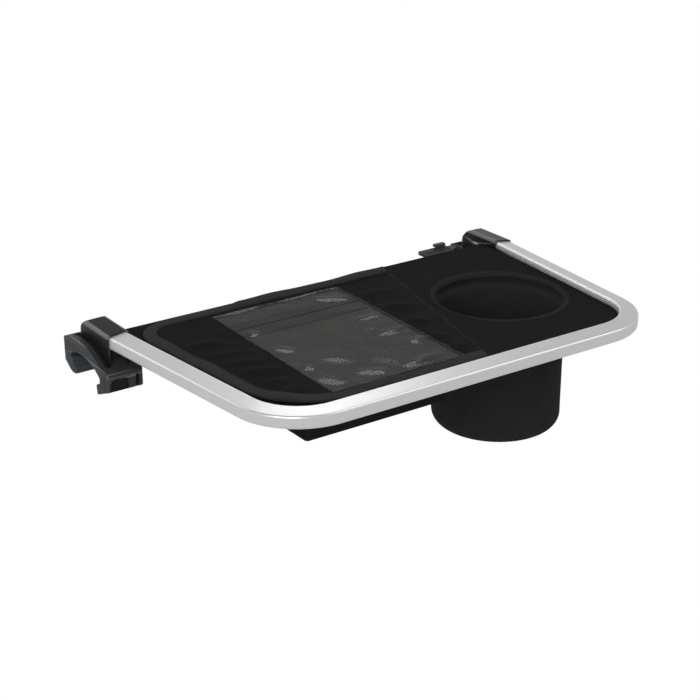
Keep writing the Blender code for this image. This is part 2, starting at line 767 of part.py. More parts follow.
# Binding folded round the three free edges of the lid
band = level(lid_line(0.0), lid_under, lid_top + BINDING_COVER * 2.0)
band_inner = lid_line(BINDING_WIDTH)
reach = seam_x(LID_BACK) + BINDING_WIDTH * 2.0
shifted = [(x if k < 13 or k > 14 else reach, y) for k, (x, y) in enumerate(band_inner)]
hollow = level(shifted, lid_under - OVERRUN, lid_top + BINDING_COVER * 2.0 + OVERRUN)
groove = level(
    lid_line(BINDING_COVER), lid_under + BINDING_COVER - GAP, lid_top + BINDING_COVER + GAP
)
cut(band, [hollow, groove])
finish(band, "lid_binding", "binding")

film_line = window_line(FILM_LAP, FILM_LAP / 2.0)
film_under = lid_top + BINDING_COVER + GAP
film = level(film_line, film_under, film_under + FILM_THICKNESS)
finish(film, "window_film", "film")
mesh_top = lid_under + BINDING_COVER - GAP
mesh = level(film_line, mesh_top - MESH_THICKNESS, mesh_top)
finish(mesh, "window_mesh", "mesh")
for moving in (lid, band, film, mesh):
    on_seam(moving)

# Piping in the seam between the lid and the cup side
piping_front = LID_FRONT + PIPING_END_MARGIN
piping_back = LID_BACK - PIPING_END_MARGIN
piping_z = deck_top + GAP + PIPING_RADIUS
piping = rod(
    PIPING_RADIUS,
    (seam_x(piping_front), piping_front, piping_z),
    (seam_x(piping_back), piping_back, piping_z),
    12,
)
finish(piping, "seam_piping", "binding", smooth=True)


# Pocket tub hanging below the deck
def grown(amount):
    return box(
        -POCKET_LEFT - amount, amount - POCKET_INNER, POCKET_FRONT - amount, POCKET_BACK + amount
    )


flange_top = deck_under - GAP
tub = level(rounded(grown(POCKET_WALL), [POCKET_ROUND + POCKET_WALL] * 4), -POCKET_BOTTOM, flange_top)
rim = level(
    rounded(grown(POCKET_FLANGE), [POCKET_ROUND + POCKET_FLANGE] * 4),
    flange_top - POCKET_WALL,
    flange_top - GAP * 0.1,
)
cut(tub, [rim], "UNION")
inside = level(
    rounded(pocket_box, [POCKET_ROUND] * 4), -POCKET_BOTTOM + POCKET_WALL, flange_top + OVERRUN
)
cut(tub, [inside])
finish(tub, "pocket_tub", "fabric")

# Cup holder: sleeve with flange, stiffening hoop, base disc and the roll at its mouth
cup_outer = CUP_INNER_RADIUS + CUP_WALL
sleeve_top = deck_top - CUP_ROLL - GAP - GAP
low = -CUP_BOTTOM
inner_round = CUP_BOTTOM_ROUND - CUP_WALL
sleeve_profile = [
    (CUP_INNER_RADIUS, sleeve_top),
    (CUP_INNER_RADIUS + CUP_FLANGE, sleeve_top),
    (CUP_INNER_RADIUS + CUP_FLANGE, sleeve_top - CUP_FLANGE_THICKNESS),
    (cup_outer, sleeve_top - CUP_FLANGE_THICKNESS),
]
sleeve_profile += arc(
    cup_outer - CUP_BOTTOM_ROUND, low + CUP_BOTTOM_ROUND, CUP_BOTTOM_ROUND, 0.0, -math.pi / 2.0, 8
)
sleeve_profile += [(0.0, low), (0.0, low + CUP_WALL)]
sleeve_profile += arc(
    cup_outer - CUP_BOTTOM_ROUND, low + CUP_BOTTOM_ROUND, inner_round, -math.pi / 2.0, 0.0, 8
)
sleeve = turned(sleeve_profile, CUP_X, CUP_Y, CUP_STEPS)
finish(sleeve, "cup_sleeve", "fabric", smooth=True)

hoop_top = sleeve_top - CUP_FLANGE_THICKNESS - GAP
hoop_inner = cup_outer + GAP
hoop = turned(
    box(hoop_inner, hoop_inner + HOOP_THICKNESS, hoop_top - HOOP_HEIGHT, hoop_top),
    CUP_X,
    CUP_Y,
    CUP_STEPS,
)
finish(hoop, "cup_hoop", "board")

base_low = low + CUP_WALL + GAP
base_radius = CUP_INNER_RADIUS - CUP_BASE_MARGIN
base = rod(
    base_radius, (CUP_X, CUP_Y, base_low), (CUP_X, CUP_Y, base_low + CUP_BASE_THICKNESS), CUP_STEPS
)
soften(base, EDGE_SOFTENING)
finish(base, "cup_base", "board")

lip_low = sleeve_top + GAP
roll_radius = CUP_INNER_RADIUS + CUP_ROLL
lip_profile = [
    (CUP_INNER_RADIUS, lip_low),
    (CUP_INNER_RADIUS + CUP_FLANGE, lip_low),
    (CUP_INNER_RADIUS + CUP_FLANGE, deck_under - GAP),
    (roll_radius, deck_under - GAP),
]
lip_profile += arc(roll_radius, deck_top - CUP_ROLL, CUP_ROLL, math.pi / 2.0, math.pi, 6)
lip = turned(lip_profile, CUP_X, CUP_Y, CUP_STEPS)
finish(lip, "cup_lip", "fabric", smooth=True)


# Clamps. The side factor is -1 on the left and 1 on the right
CAP_CENTRE = CAP_HALF_WIDTH - HALF_TUBE


def track(radius, start, end, steps):
    """Arc about the tilt axis; angles are measured from straight up, positive to the front."""
    return arc(
        TILT_AXIS_BACK,
        -TILT_AXIS_DROP,
        radius,
        math.pi / 2.0 + start,
        math.pi / 2.0 + end,
        steps,
    )


def band_of(inner, outer, start, end, steps=8):
    return track(inner, start, end, steps) + track(outer, end, start, steps)


def angle_at(y, radius):
    """Angle about the tilt axis at which an arc of this radius reaches a depth."""
    return math.asin((TILT_AXIS_BACK - y) / radius)


def make_cap(side, name):
    centre = side * CAP_CENTRE
    shell = GAP + CAP_WALL
    wide = HALF_TUBE + shell
    slope = TUBE_TOP_RISE / TUBE_WIDTH
    lowest = angle_at(CAP_FRONT, TRACK_RADIUS)
    deep = TRACK_RADIUS * math.cos(lowest) - TILT_AXIS_DROP - OVERRUN
    corners = [
        (centre + side * wide, deep),
        (centre + side * wide, shell - slope * shell),
        (centre - side * wide, TUBE_TOP_RISE + shell + slope * shell),
        (centre - side * wide, deep),
    ]
    section = rounded(corners, [0.0, CAP_ROUND, CAP_INNER_ROUND, 0.0], 8)
    body = endways(section, CAP_FRONT, CAP_BACK + OVERRUN)
    start = angle_at(CAP_FRONT - OVERRUN, TRACK_RADIUS + GAP)
    end = angle_at(CAP_BACK, TRACK_RADIUS + GAP)
    silhouette = track(TRACK_RADIUS + GAP, start, end, 14)
    top = TUBE_TOP_RISE + shell + OVERRUN * 2.0
    rear_centre = CAP_BACK - CAP_REAR_ROUND * math.cos(CAP_REAR_LOW_ANGLE)
    high = TUBE_TOP_RISE + shell + slope * shell
    between = CAP_REAR_ROUND - CAP_CREASE_ROUND
    turn = math.asin((high + CAP_REAR_DROP - CAP_CREASE_ROUND) / between)
    silhouette += arc(
        rear_centre,
        -CAP_REAR_DROP,
        CAP_REAR_ROUND,
        CAP_REAR_LOW_ANGLE,
        turn,
        12,
    )
    crease = arc(
        rear_centre + between * math.cos(turn),
        -CAP_REAR_DROP + between * math.sin(turn),
        CAP_CREASE_ROUND,
        turn,
        math.pi / 2.0,
        FINE_STEPS,
    )
    silhouette += crease[1:]
    silhouette += [(silhouette[-1][0], top), (CAP_FRONT - OVERRUN, top)]
    edge = centre + side * (wide + OVERRUN)
    other = centre - side * (wide + OVERRUN)
    cut(body, [across(silhouette, edge, other)], "INTERSECT")
    plan = rounded(
        box(centre - wide, centre + wide, CAP_FRONT - OVERRUN, CAP_BACK),
        [0.0, 0.0, CAP_REAR_CORNER, CAP_REAR_CORNER],
    )
    cut(body, [level(plan, deep - OVERRUN, top + OVERRUN)], "INTERSECT")
    hole = [(centre + side * u, v) for u, v in tube_section(GAP)]
    bore_end = ARM_LENGTH + GAP
    cavity = rounded(
        box(
            centre - wide + CAP_FOOT_WALL,
            centre + wide - CAP_FOOT_WALL,
            deep - OVERRUN,
            -TUBE_OUTER_HEIGHT + TUBE_WALL,
        ),
        [0.0, 0.0, CHAMBER_ROUND, CHAMBER_ROUND],
    )
    slot = rounded(
        box(
            CAP_SLOT_FRONT,
            CAP_SLOT_BACK,
            -CAP_SLOT_DROP - CAP_SLOT_HEIGHT / 2.0,
            -CAP_SLOT_DROP + CAP_SLOT_HEIGHT / 2.0,
        ),
        [CAP_SLOT_HEIGHT / 2.01] * 4,
    )
    inner_face = centre - side * wide
    cut(
        body,
        [
            endways(hole, CAP_FRONT - OVERRUN, bore_end),
            endways(cavity, CAP_FRONT - OVERRUN, CAP_BACK - CAP_REAR_WALL),
            across(slot, inner_face - side * OVERRUN, inner_face + side * CAP_WALL * 1.5),
        ],
    )
    soften(body, EDGE_SOFTENING, 2, 40.0)
    finish(body, name, "cap")
    return body


def make_foot(side, name):
    centre = side * CAP_CENTRE
    half = HALF_TUBE + GAP + CAP_WALL - CAP_FOOT_WALL - FOOT_SIDE_MARGIN
    seat = TRACK_RADIUS + GAP
    floor = TRACK_RADIUS - KEY_FLOOR_DEPTH + GAP
    start = angle_at(FOOT_FRONT, seat)
    end = angle_at(FOOT_BACK, seat)
    top = -TUBE_OUTER_HEIGHT - GAP - GAP
    profile = track(seat, start, end, 20) + [(FOOT_BACK, top), (FOOT_FRONT, top)]
    body = across(profile, centre - half, centre + half)
    one = KEY_CENTRE + KEY_HALF_ANGLE
    two = KEY_CENTRE - KEY_HALF_ANGLE
    neck = KEY_NECK_WIDTH / 2.0
    head = KEY_HEAD_WIDTH / 2.0
    middle = floor + KEY_HEAD_HEIGHT / 2.0
    cut(
        body,
        [
            across(band_of(middle, seat + GAP * 3.0, one, two), centre - neck, centre + neck),
            across(
                band_of(floor, floor + KEY_HEAD_HEIGHT, one + KEY_END_STEP, two - KEY_END_STEP),
                centre - head,
                centre + head,
            ),
        ],
        "UNION",
    )
    finish(body, name, "housing")
    return body


def saddle_profile():
    """Side view of a saddle: flange arc, front leg with hook lip, arch and rear body."""
    crest = TRACK_RADIUS + FLANGE_RISE
    start = angle_at(LEG_FRONT + LEG_SHOULDER_BACK, crest)
    end = angle_at(SADDLE_BACK, crest)
    face = LEG_FRONT + LEG_RELIEF
    points = track(crest, end, start, 18)
    points += arc(
        LEG_FRONT + LEG_SHOULDER_ROUND,
        -LEG_SHOULDER_DROP - LEG_SHOULDER_ROUND,
        LEG_SHOULDER_ROUND,
        math.pi / 2.0,
        math.pi,
        FINE_STEPS,
    )
    points += [(face, -LEG_SHOULDER_DROP - LEG_SHOULDER_ROUND - LEG_RELIEF)]
    points += [(face, -LEG_FRONT_BOTTOM + LEG_CHAMFER)]
    points += [(face + LEG_CHAMFER, -LEG_FRONT_BOTTOM - LEG_CHAMFER / 2.0)]
    points += [(LIP_BACK - LIP_STEP, -LEG_BOTTOM)]
    points += [(LIP_BACK - LIP_STEP / 2.0, -LEG_BOTTOM + LIP_STEP / 2.0)]
    points += [(LIP_BACK, -LIP_TOP - LIP_STEP * 2.0), (LIP_BACK - LIP_STEP / 3.0, -LIP_TOP - LIP_STEP)]
    points += [(LEG_BACK, -LIP_TOP)]
    first = math.pi - math.acos((ARCH_CENTRE - LEG_BACK) / ARCH_RADIUS)
    last = math.acos((ARCH_BACK - ARCH_CENTRE) / ARCH_RADIUS)
    points += arc(ARCH_CENTRE, -ARCH_DROP, ARCH_RADIUS, first, last, ARCH_STEPS)
    points += [(ARCH_BACK, -SADDLE_UNDER), (SADDLE_BACK, -SADDLE_UNDER)]
    return points


def saddle_plan(side):
    """Outline of a saddle seen from above, with rounded upright corners."""
    front, back = SADDLE_FRONT_CORNER, SADDLE_REAR_CORNER
    low, high = sorted((side * SADDLE_OUTER, side * SADDLE_INNER))
    return rounded(box(low, high, LEG_FRONT, SADDLE_BACK), [front, front, back, back])


def make_saddle(side, name):
    outer = side * SADDLE_OUTER
    inner = side * SADDLE_INNER
    body = across(saddle_profile(), outer, inner)
    upright = level(saddle_plan(side), -LEG_BOTTOM - OVERRUN, OVERRUN)
    cut(body, [upright], "INTERSECT")
    clear = TRACK_RADIUS + FLANGE_RISE + OVERRUN
    seat_start = angle_at(TRACK_POCKET_FRONT, TRACK_RADIUS)
    seat_end = angle_at(END_WALL_FRONT, TRACK_RADIUS)
    seat = track(TRACK_RADIUS, seat_start, seat_end, 18)
    seat += [(END_WALL_FRONT, OVERRUN), (TRACK_POCKET_FRONT, OVERRUN)]
    relief_top = -LEG_SHOULDER_DROP - LEG_SHOULDER_ROUND - LEG_RELIEF
    relief_back = LEG_FRONT + LEG_RELIEF_RUN
    relief = [
        (LEG_FRONT - OVERRUN, -LEG_BOTTOM - OVERRUN),
        (relief_back, -LEG_BOTTOM - OVERRUN),
        (relief_back, relief_top - LEG_RELIEF_CORNER),
        (relief_back - LEG_RELIEF_CORNER, relief_top),
        (LEG_FRONT - OVERRUN, relief_top),
    ]
    flange_face = side * (SADDLE_OUTER - FLANGE_THICKNESS)
    centre = side * CAP_CENTRE
    floor = TRACK_RADIUS - KEY_FLOOR_DEPTH
    head_top = floor + KEY_HEAD_HEIGHT + GAP * 2.0
    one = KEY_CENTRE + KEY_HALF_ANGLE + TILT_TRAVEL + TRACK_SPARE
    two = KEY_CENTRE - KEY_HALF_ANGLE - TILT_TRAVEL - TRACK_SPARE
    neck = KEY_NECK_WIDTH / 2.0 + GAP
    head = KEY_HEAD_WIDTH / 2.0 + GAP
    jaw_mid = side * (SADDLE_OUTER + SADDLE_INNER) / 2.0
    pocket = KNUCKLE_HALF_WIDTH + KNUCKLE_SIDE_GAP
    under = -SADDLE_UNDER - OVERRUN
    knuckle = arc(JAW_PIN_BACK, -JAW_PIN_DROP, KNUCKLE_POCKET, 0.0, math.pi, 16)
    knuckle += [(JAW_PIN_BACK - KNUCKLE_POCKET, under), (JAW_PIN_BACK + KNUCKLE_POCKET, under)]
    pin_one = side * (SADDLE_OUTER - JAW_PIN_MARGIN + GAP)
    pin_two = side * (SADDLE_INNER + JAW_PIN_MARGIN - GAP)
    low_edge = side * (SADDLE_OUTER - PANEL_OUTER_MARGIN)
    high_edge = side * (SADDLE_INNER + PANEL_INNER_MARGIN)
    panel = rounded(
        box(min(low_edge, high_edge), max(low_edge, high_edge), -PANEL_BOTTOM, -PANEL_TOP),
        [0.0, 0.0, PANEL_ROUND, PANEL_ROUND],
    )
    slot_one = side * (SADDLE_INNER + LEG_SLOT_MARGIN)
    slot_two = side * (SADDLE_INNER + LEG_SLOT_MARGIN + LEG_SLOT_WIDTH)
    slot = rounded(
        box(min(slot_one, slot_two), max(slot_one, slot_two), -LEG_SLOT_BOTTOM, -LEG_SLOT_TOP),
        [LEG_SLOT_ROUND] * 4,
    )
    tools = [
        across(seat, flange_face, inner - side * OVERRUN),
        across(relief, outer - side * LEG_RELIEF, outer + side * OVERRUN),
        across(band_of(head_top - GAP, clear, one, two), centre - neck, centre + neck),
        across(
            band_of(floor, head_top, one + KEY_END_STEP, two - KEY_END_STEP),
            centre - head,
            centre + head,
        ),
        across(knuckle, jaw_mid - pocket, jaw_mid + pocket),
        rod(
            JAW_PIN_BORE,
            (pin_one, JAW_PIN_BACK, -JAW_PIN_DROP),
            (pin_two, JAW_PIN_BACK, -JAW_PIN_DROP),
            20,
        ),
        endways(panel, LEG_FRONT - OVERRUN, LEG_FRONT + LEG_RELIEF + PANEL_DEPTH),
        endways(slot, LEG_FRONT - OVERRUN, LEG_FRONT + LEG_SLOT_DEPTH),
    ]
    cut(body, tools)
    if side > 0:
        add_lug(body)
    soften(body, FINE_SOFTENING, 2, 50.0)
    finish(body, name, "housing")
    return body


def add_lug(body):
    """Lug with two ears on the inner side of the right saddle, for the release tongue."""
    ears = level(box(LUG_INNER, LUG_OUTER, LUG_FRONT, LUG_BACK), -LUG_BOTTOM, -LUG_TOP)
    neck = level(
        box(LUG_NECK_INNER, SADDLE_INNER + LUG_OVERLAP, LUG_FRONT + GAP, LUG_BACK - GAP),
        -LUG_BOTTOM + GAP,
        -LUG_NECK_TOP,
    )
    cut(body, [neck, ears], "UNION")
    opening = level(
        box(
            LUG_INNER - OVERRUN,
            LUG_SLOT_OUTER,
            LUG_FRONT + EAR_THICKNESS,
            LUG_BACK - EAR_THICKNESS,
        ),
        -LUG_BOTTOM - OVERRUN,
        -LUG_TOP + OVERRUN,
    )
    bore_line = rod(
        TONGUE_PIN_BORE,
        (TONGUE_PIN_X, LUG_FRONT + TONGUE_PIN_MARGIN - GAP, -TONGUE_PIN_DROP),
        (TONGUE_PIN_X, LUG_BACK + OVERRUN, -TONGUE_PIN_DROP),
        20,
    )
    cut(body, [opening, bore_line])


def make_grip(side, name):
    """Soft strip under the arch, where the saddle rests on the handlebar."""
    outer = ARCH_RADIUS - GAP
    inner = outer - GRIP_THICKNESS
    front = math.pi / 2.0 + GRIP_FRONT_ANGLE
    back = math.pi / 2.0 - GRIP_BACK_ANGLE
    points = arc(ARCH_CENTRE, -ARCH_DROP, outer, front, back, 16)
    points += arc(ARCH_CENTRE, -ARCH_DROP, inner, back, front, 16)
    body = across(
        points,
        side * (SADDLE_OUTER - GRIP_SIDE_MARGIN),
        side * (SADDLE_INNER + GRIP_SIDE_MARGIN),
    )
    finish(body, name, "rubber")
    return body


def make_strip(side, name):
    """Toothed strip in the groove between the cap and the flange."""
    seat_radius = TRACK_RADIUS + GAP
    root = seat_radius + STRIP_HEIGHT - TOOTH_HEIGHT
    tip = seat_radius + STRIP_HEIGHT
    front = angle_at(TRACK_POCKET_FRONT + STRIP_FRONT_MARGIN, TRACK_RADIUS)
    back = angle_at(END_WALL_FRONT - STRIP_BACK_MARGIN, TRACK_RADIUS)
    points = track(seat_radius, front, back, 30)
    span = front - back
    count = TOOTH_COUNT * 2
    for k in range(count + 1):
        radius = tip if k % 2 else root
        turn = math.pi / 2.0 + back + span * k / count
        points.append(
            (
                TILT_AXIS_BACK + radius * math.cos(turn),
                -TILT_AXIS_DROP + radius * math.sin(turn),
            )
        )
    inner = CAP_HALF_WIDTH + GAP + CAP_WALL + STRIP_SIDE_GAP
    outer = SADDLE_OUTER - FLANGE_THICKNESS - GAP
    body = across(points, side * inner, side * outer)
    finish(body, name, "housing")
    return body


def make_jaw(side, name):
    """Swinging jaw: a full-width pad with a ribbed front face and a narrow knuckle."""
    top = -JAW_TOP
    face_top = top - JAW_TOP_EASE
    face = [(JAW_FACE_TOP, face_top)]
    steps = JAW_RIBS * 4
    for k in range(1, steps):
        share = k / steps
        y = JAW_FACE_TOP + (JAW_TIP - JAW_FACE_TOP) * share
        z = face_top + (-JAW_TIP_DROP - face_top) * share
        ridge = JAW_RIB_HEIGHT * math.sin(math.pi * JAW_RIBS * share) ** 2
        face.append((y - ridge, z))
    radii = [0.0] * len(face) + [JAW_TIP_ROUND, JAW_BOTTOM_ROUND, 0.0, 0.0, 0.0]
    points = face + [(JAW_TIP, -JAW_TIP_DROP), (JAW_BOTTOM_BACK, -JAW_BOTTOM_BACK_DROP)]
    points += [(JAW_BACK, -JAW_HEEL), (JAW_BACK - GAP, top), (JAW_PIN_BACK, top)]
    outer = side * (SADDLE_OUTER - JAW_END_GAP)
    inner = side * (SADDLE_INNER + JAW_END_GAP)
    body = across(rounded(points, radii), outer, inner)
    plan = rounded(
        box(min(outer, inner), max(outer, inner), JAW_TIP - JAW_RIB_HEIGHT, JAW_BACK),
        [JAW_FRONT_CORNER, JAW_FRONT_CORNER, JAW_REAR_CORNER, JAW_REAR_CORNER],
    )
    cut(body, [level(plan, -JAW_TIP_DROP - OVERRUN, top + OVERRUN)], "INTERSECT")
    middle = side * (SADDLE_OUTER + SADDLE_INNER) / 2.0
    neck = [(JAW_PIN_BACK - JAW_NECK_HALF, -JAW_PIN_DROP), (JAW_PIN_BACK + JAW_NECK_HALF, -JAW_PIN_DROP)]
    neck += [(JAW_PIN_BACK + JAW_NECK_HALF, -JAW_HEEL), (JAW_PIN_BACK - JAW_NECK_HALF, -JAW_HEEL)]
    one = middle - KNUCKLE_HALF_WIDTH
    two = middle + KNUCKLE_HALF_WIDTH
    barrel = rod(
        KNUCKLE_RADIUS, (one, JAW_PIN_BACK, -JAW_PIN_DROP), (two, JAW_PIN_BACK, -JAW_PIN_DROP), 24
    )
    cut(body, [across(neck, one + GAP, two - GAP), barrel], "UNION")
    hole = rod(
        JAW_PIN_BORE,
        (one - OVERRUN, JAW_PIN_BACK, -JAW_PIN_DROP),
        (two + OVERRUN, JAW_PIN_BACK, -JAW_PIN_DROP),
        20,
    )
    cut(body, [hole])
    finish(body, name, "slate")
    set_origin(body, middle, JAW_PIN_BACK, -JAW_PIN_DROP)
    return body


def make_pin(side, name):
    one = side * (SADDLE_OUTER - JAW_PIN_MARGIN)
    two = side * (SADDLE_INNER + JAW_PIN_MARGIN)
    body = rod(
        JAW_PIN_RADIUS, (one, JAW_PIN_BACK, -JAW_PIN_DROP), (two, JAW_PIN_BACK, -JAW_PIN_DROP), 20
    )
    finish(body, name, "steel", smooth=True)
    return body


for side, word in ((-1.0, "left"), (1.0, "right")):
    make_cap(side, word + "_end_cap")
    make_foot(side, word + "_tilt_foot")
    make_saddle(side, word + "_saddle")
    make_grip(side, word + "_arch_grip")
    make_strip(side, word + "_tooth_strip")
    make_jaw(side, word + "_jaw")
    make_pin(side, word + "_jaw_pin")

# Release tongue on the right saddle, with its button
tongue_top = -TONGUE_TOP
tongue_under = tongue_top - TONGUE_THICKNESS
tongue_front = LUG_FRONT + EAR_THICKNESS + GAP
tongue_back = LUG_BACK - EAR_THICKNESS - GAP
tongue = level(
    rounded(
        box(TONGUE_END, TONGUE_PIN_X, tongue_front, tongue_back),
        [TONGUE_TIP_ROUND, 0.0, 0.0, TONGUE_TIP_ROUND],
    ),
    tongue_under,
    tongue_top,
)
wide_blade = level(
    rounded(
        box(TONGUE_END - GAP, TONGUE_ROOT, LUG_FRONT, LUG_BACK),
        [TONGUE_TIP_ROUND, TONGUE_TIP_ROUND, TONGUE_TIP_ROUND, TONGUE_TIP_ROUND],
    ),
    tongue_under + GAP * 0.2,
    tongue_top + GAP * 0.2,
)
barrel_line = ((TONGUE_PIN_X, tongue_front, -TONGUE_PIN_DROP), (TONGUE_PIN_X, tongue_back, -TONGUE_PIN_DROP))
cut(tongue, [wide_blade, rod(TONGUE_KNUCKLE, *barrel_line, 24)], "UNION")
button_box = box(BUTTON_LEFT, BUTTON_RIGHT, BUTTON_FRONT, BUTTON_BACK)
stem_front = BUTTON_FRONT + GAP


def stem_box(grow, side_grow):
    """Plan of the button's stem, let out all round and further at its two ends."""
    return box(
        BUTTON_LEFT + STEM_MARGIN - grow - side_grow,
        BUTTON_RIGHT - STEM_MARGIN + grow + side_grow,
        stem_front - grow,
        stem_front + STEM_THICKNESS + grow,
    )


tongue_cuts = [
    level(stem_box(GAP, 0.0), tongue_under - OVERRUN, tongue_top + OVERRUN),
    rod(
        TONGUE_PIN_BORE,
        (TONGUE_PIN_X, tongue_front - OVERRUN, -TONGUE_PIN_DROP),
        (TONGUE_PIN_X, tongue_back + OVERRUN, -TONGUE_PIN_DROP),
        20,
    ),
]
groove_start = TONGUE_END + TONGUE_RIB_MARGIN
groove_end = TONGUE_ROOT - TONGUE_RIB_MARGIN
for k in range(TONGUE_RIBS):
    groove = LUG_FRONT + TONGUE_RIB_MARGIN + TONGUE_RIB_PITCH * k
    tongue_cuts.append(
        level(
            box(groove_start, groove_end, groove, groove + TONGUE_RIB_PITCH / 2.0),
            tongue_top - TONGUE_RIB_HEIGHT,
            tongue_top + OVERRUN,
        )
    )
cut(tongue, tongue_cuts)
finish(tongue, "right_release_tongue", "housing")
tongue_middle = (tongue_front + tongue_back) / 2.0
set_origin(tongue, TONGUE_PIN_X, tongue_middle, -TONGUE_PIN_DROP)

pin_start = (TONGUE_PIN_X, LUG_FRONT + TONGUE_PIN_MARGIN, -TONGUE_PIN_DROP)
pin_end = (TONGUE_PIN_X, LUG_BACK - GAP, -TONGUE_PIN_DROP)
finish(rod(TONGUE_PIN_RADIUS, pin_start, pin_end, 20), "right_tongue_pin", "steel", smooth=True)

button = level(
    rounded(button_box, [BUTTON_ROUND] * 4),
    tongue_top + BUTTON_TRAVEL + GAP,
    tongue_top + BUTTON_TRAVEL + GAP + BUTTON_HEIGHT,
)
foot_low = tongue_under - GAP - STEM_FOOT_THICKNESS
stem = level(stem_box(0.0, 0.0), foot_low + GAP, tongue_top + BUTTON_TRAVEL + GAP * 2.0)
stem_foot = level(stem_box(0.0, STEM_FOOT_MARGIN), foot_low, tongue_under - GAP)
cut(button, [stem, stem_foot], "UNION")
soften(button, FINE_SOFTENING, 2, 50.0)
finish(button, "right_release_button", "slate")
button_x = (BUTTON_LEFT + BUTTON_RIGHT) / 2.0
button_y = (BUTTON_FRONT + BUTTON_BACK) / 2.0
set_origin(button, button_x, button_y, tongue_top)

for group in (CUTTERS,):
    for obj in group.objects:
        obj.hide_render = True
        obj.display_type = "WIRE"
print("pieces", len(PART.objects))
for obj in sorted(PART.objects, key=lambda item: item.name):
    faces = sum(len(face.vertices) - 2 for face in obj.data.polygons)
    print(obj.name, faces)
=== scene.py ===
"""Looks of the stroller tray: aluminium frame, fabric deck, window lid over a pocket, hanging
cup holder and two handlebar clamps. Lengths are in metres. Places are given from the middle of
the front bar's outer face and the tube's outer top edge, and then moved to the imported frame.
"""

import contextlib
import json
import math

import bmesh
import bpy
import numpy as np
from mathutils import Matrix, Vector

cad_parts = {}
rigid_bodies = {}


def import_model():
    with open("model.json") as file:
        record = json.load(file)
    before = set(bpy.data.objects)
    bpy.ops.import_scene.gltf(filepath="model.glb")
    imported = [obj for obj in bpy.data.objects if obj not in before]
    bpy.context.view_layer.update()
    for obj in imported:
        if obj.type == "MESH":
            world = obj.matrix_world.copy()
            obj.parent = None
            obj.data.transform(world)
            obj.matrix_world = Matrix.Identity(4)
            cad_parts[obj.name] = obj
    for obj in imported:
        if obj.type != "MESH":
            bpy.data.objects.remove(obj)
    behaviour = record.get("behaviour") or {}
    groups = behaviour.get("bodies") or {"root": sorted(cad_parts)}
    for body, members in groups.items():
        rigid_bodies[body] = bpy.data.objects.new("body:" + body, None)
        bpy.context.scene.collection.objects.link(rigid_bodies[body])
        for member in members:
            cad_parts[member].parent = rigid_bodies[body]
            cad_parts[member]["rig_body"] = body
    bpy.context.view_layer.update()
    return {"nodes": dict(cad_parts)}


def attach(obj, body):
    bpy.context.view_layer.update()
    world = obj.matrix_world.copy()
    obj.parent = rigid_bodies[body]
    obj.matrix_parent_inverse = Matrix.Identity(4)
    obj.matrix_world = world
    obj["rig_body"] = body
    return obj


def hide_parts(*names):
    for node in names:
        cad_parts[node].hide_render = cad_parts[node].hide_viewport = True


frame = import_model()

# Frame tube: one aluminium extrusion bent to a U, satin anodised. Its inner side is open along a
# channel that holds the welt of the deck, and its ends sit in the end caps.
BAR_TO_FRONT = 0.2045
BAR_TO_TOP = 0.0365
FRONT_HALF_WIDTH = 0.155
ARM_FLARE = math.radians(5.44)
CORNER_RADIUS = 0.048
CORNER_STEPS = 40
CAP_FRONT = 0.1833
ARM_END = 0.2120
TUBE_WIDTH = 0.0135
TUBE_DEPTH = 0.0086
TUBE_TOP_RISE = 0.0020
TUBE_TOP_ROUND = 0.0016
TUBE_BOTTOM_ROUND = 0.0020
ROUND_STEPS = 7
EDGE_HOLD = 0.00012
CHANNEL_RADIUS = 0.0025
CHANNEL_SETBACK = 0.0033
CHANNEL_GAP = 0.0018
GROOVE_TOP = -0.0002
GROOVE_BOTTOM = -0.0010
GROOVE_DEPTH = 0.0005
GROOVE_LEAN = 0.0001
CHANNEL_STEPS = 16
LONG_RUN = 8
TUBE_SHARP = math.radians(50.0)
DECK_LEVEL = 0.0036
ALUMINIUM = (0.72, 0.72, 0.725)
ANODISED_METAL = 0.65
METAL_ROUGHNESS = (0.30, 0.36)
METAL_TONE = 0.03
METAL_CLOUD = 60.0
METAL_SHINE_CLOUD = 240.0
METAL_GRAIN = 2600.0
METAL_GRAIN_DEPTH = 0.00002
METAL_GRAIN_STRENGTH = 0.35
GRAIN_DETAIL = 3.0
FLARE_SLOPE = math.tan(ARM_FLARE)
FLARE_LEAN = 1.0 / math.cos(ARM_FLARE)
CAP_HALF_WIDTH = FRONT_HALF_WIDTH + FLARE_SLOPE * CAP_FRONT
scene = bpy.context.scene


def placed(x, y, z):
    """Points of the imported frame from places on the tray: y and z each move by one length."""
    x, y, z = np.broadcast_arrays(x, y, z)
    return np.stack([x, y - BAR_TO_FRONT, z + BAR_TO_TOP], axis=-1).astype(float)


def bow(x, y, radius, start, end, steps):
    """Points of an arc: centre plus radius times the cosine and sine of evenly spaced angles."""
    turn = np.radians(np.linspace(start, end, steps + 1))
    return np.stack([x + radius * np.cos(turn), y + radius * np.sin(turn)], axis=-1)


def frame_line(inset, end):
    """The U of the frame drawn in by an inset: flared straight arms joined by round corners."""
    centre = FRONT_HALF_WIDTH + (FLARE_SLOPE - FLARE_LEAN) * CORNER_RADIUS
    flare = math.degrees(ARM_FLARE)
    corner = bow(centre, CORNER_RADIUS, CORNER_RADIUS - inset, -flare, -90.0, CORNER_STEPS)
    bend = CAP_FRONT + inset * (FLARE_LEAN - 1.0) / FLARE_SLOPE
    arm = [(CAP_HALF_WIDTH - inset, end), (CAP_HALF_WIDTH - inset, bend)]
    right = np.concatenate([np.array(arm), corner])
    return np.concatenate([right * (-1.0, 1.0), right[::-1]])


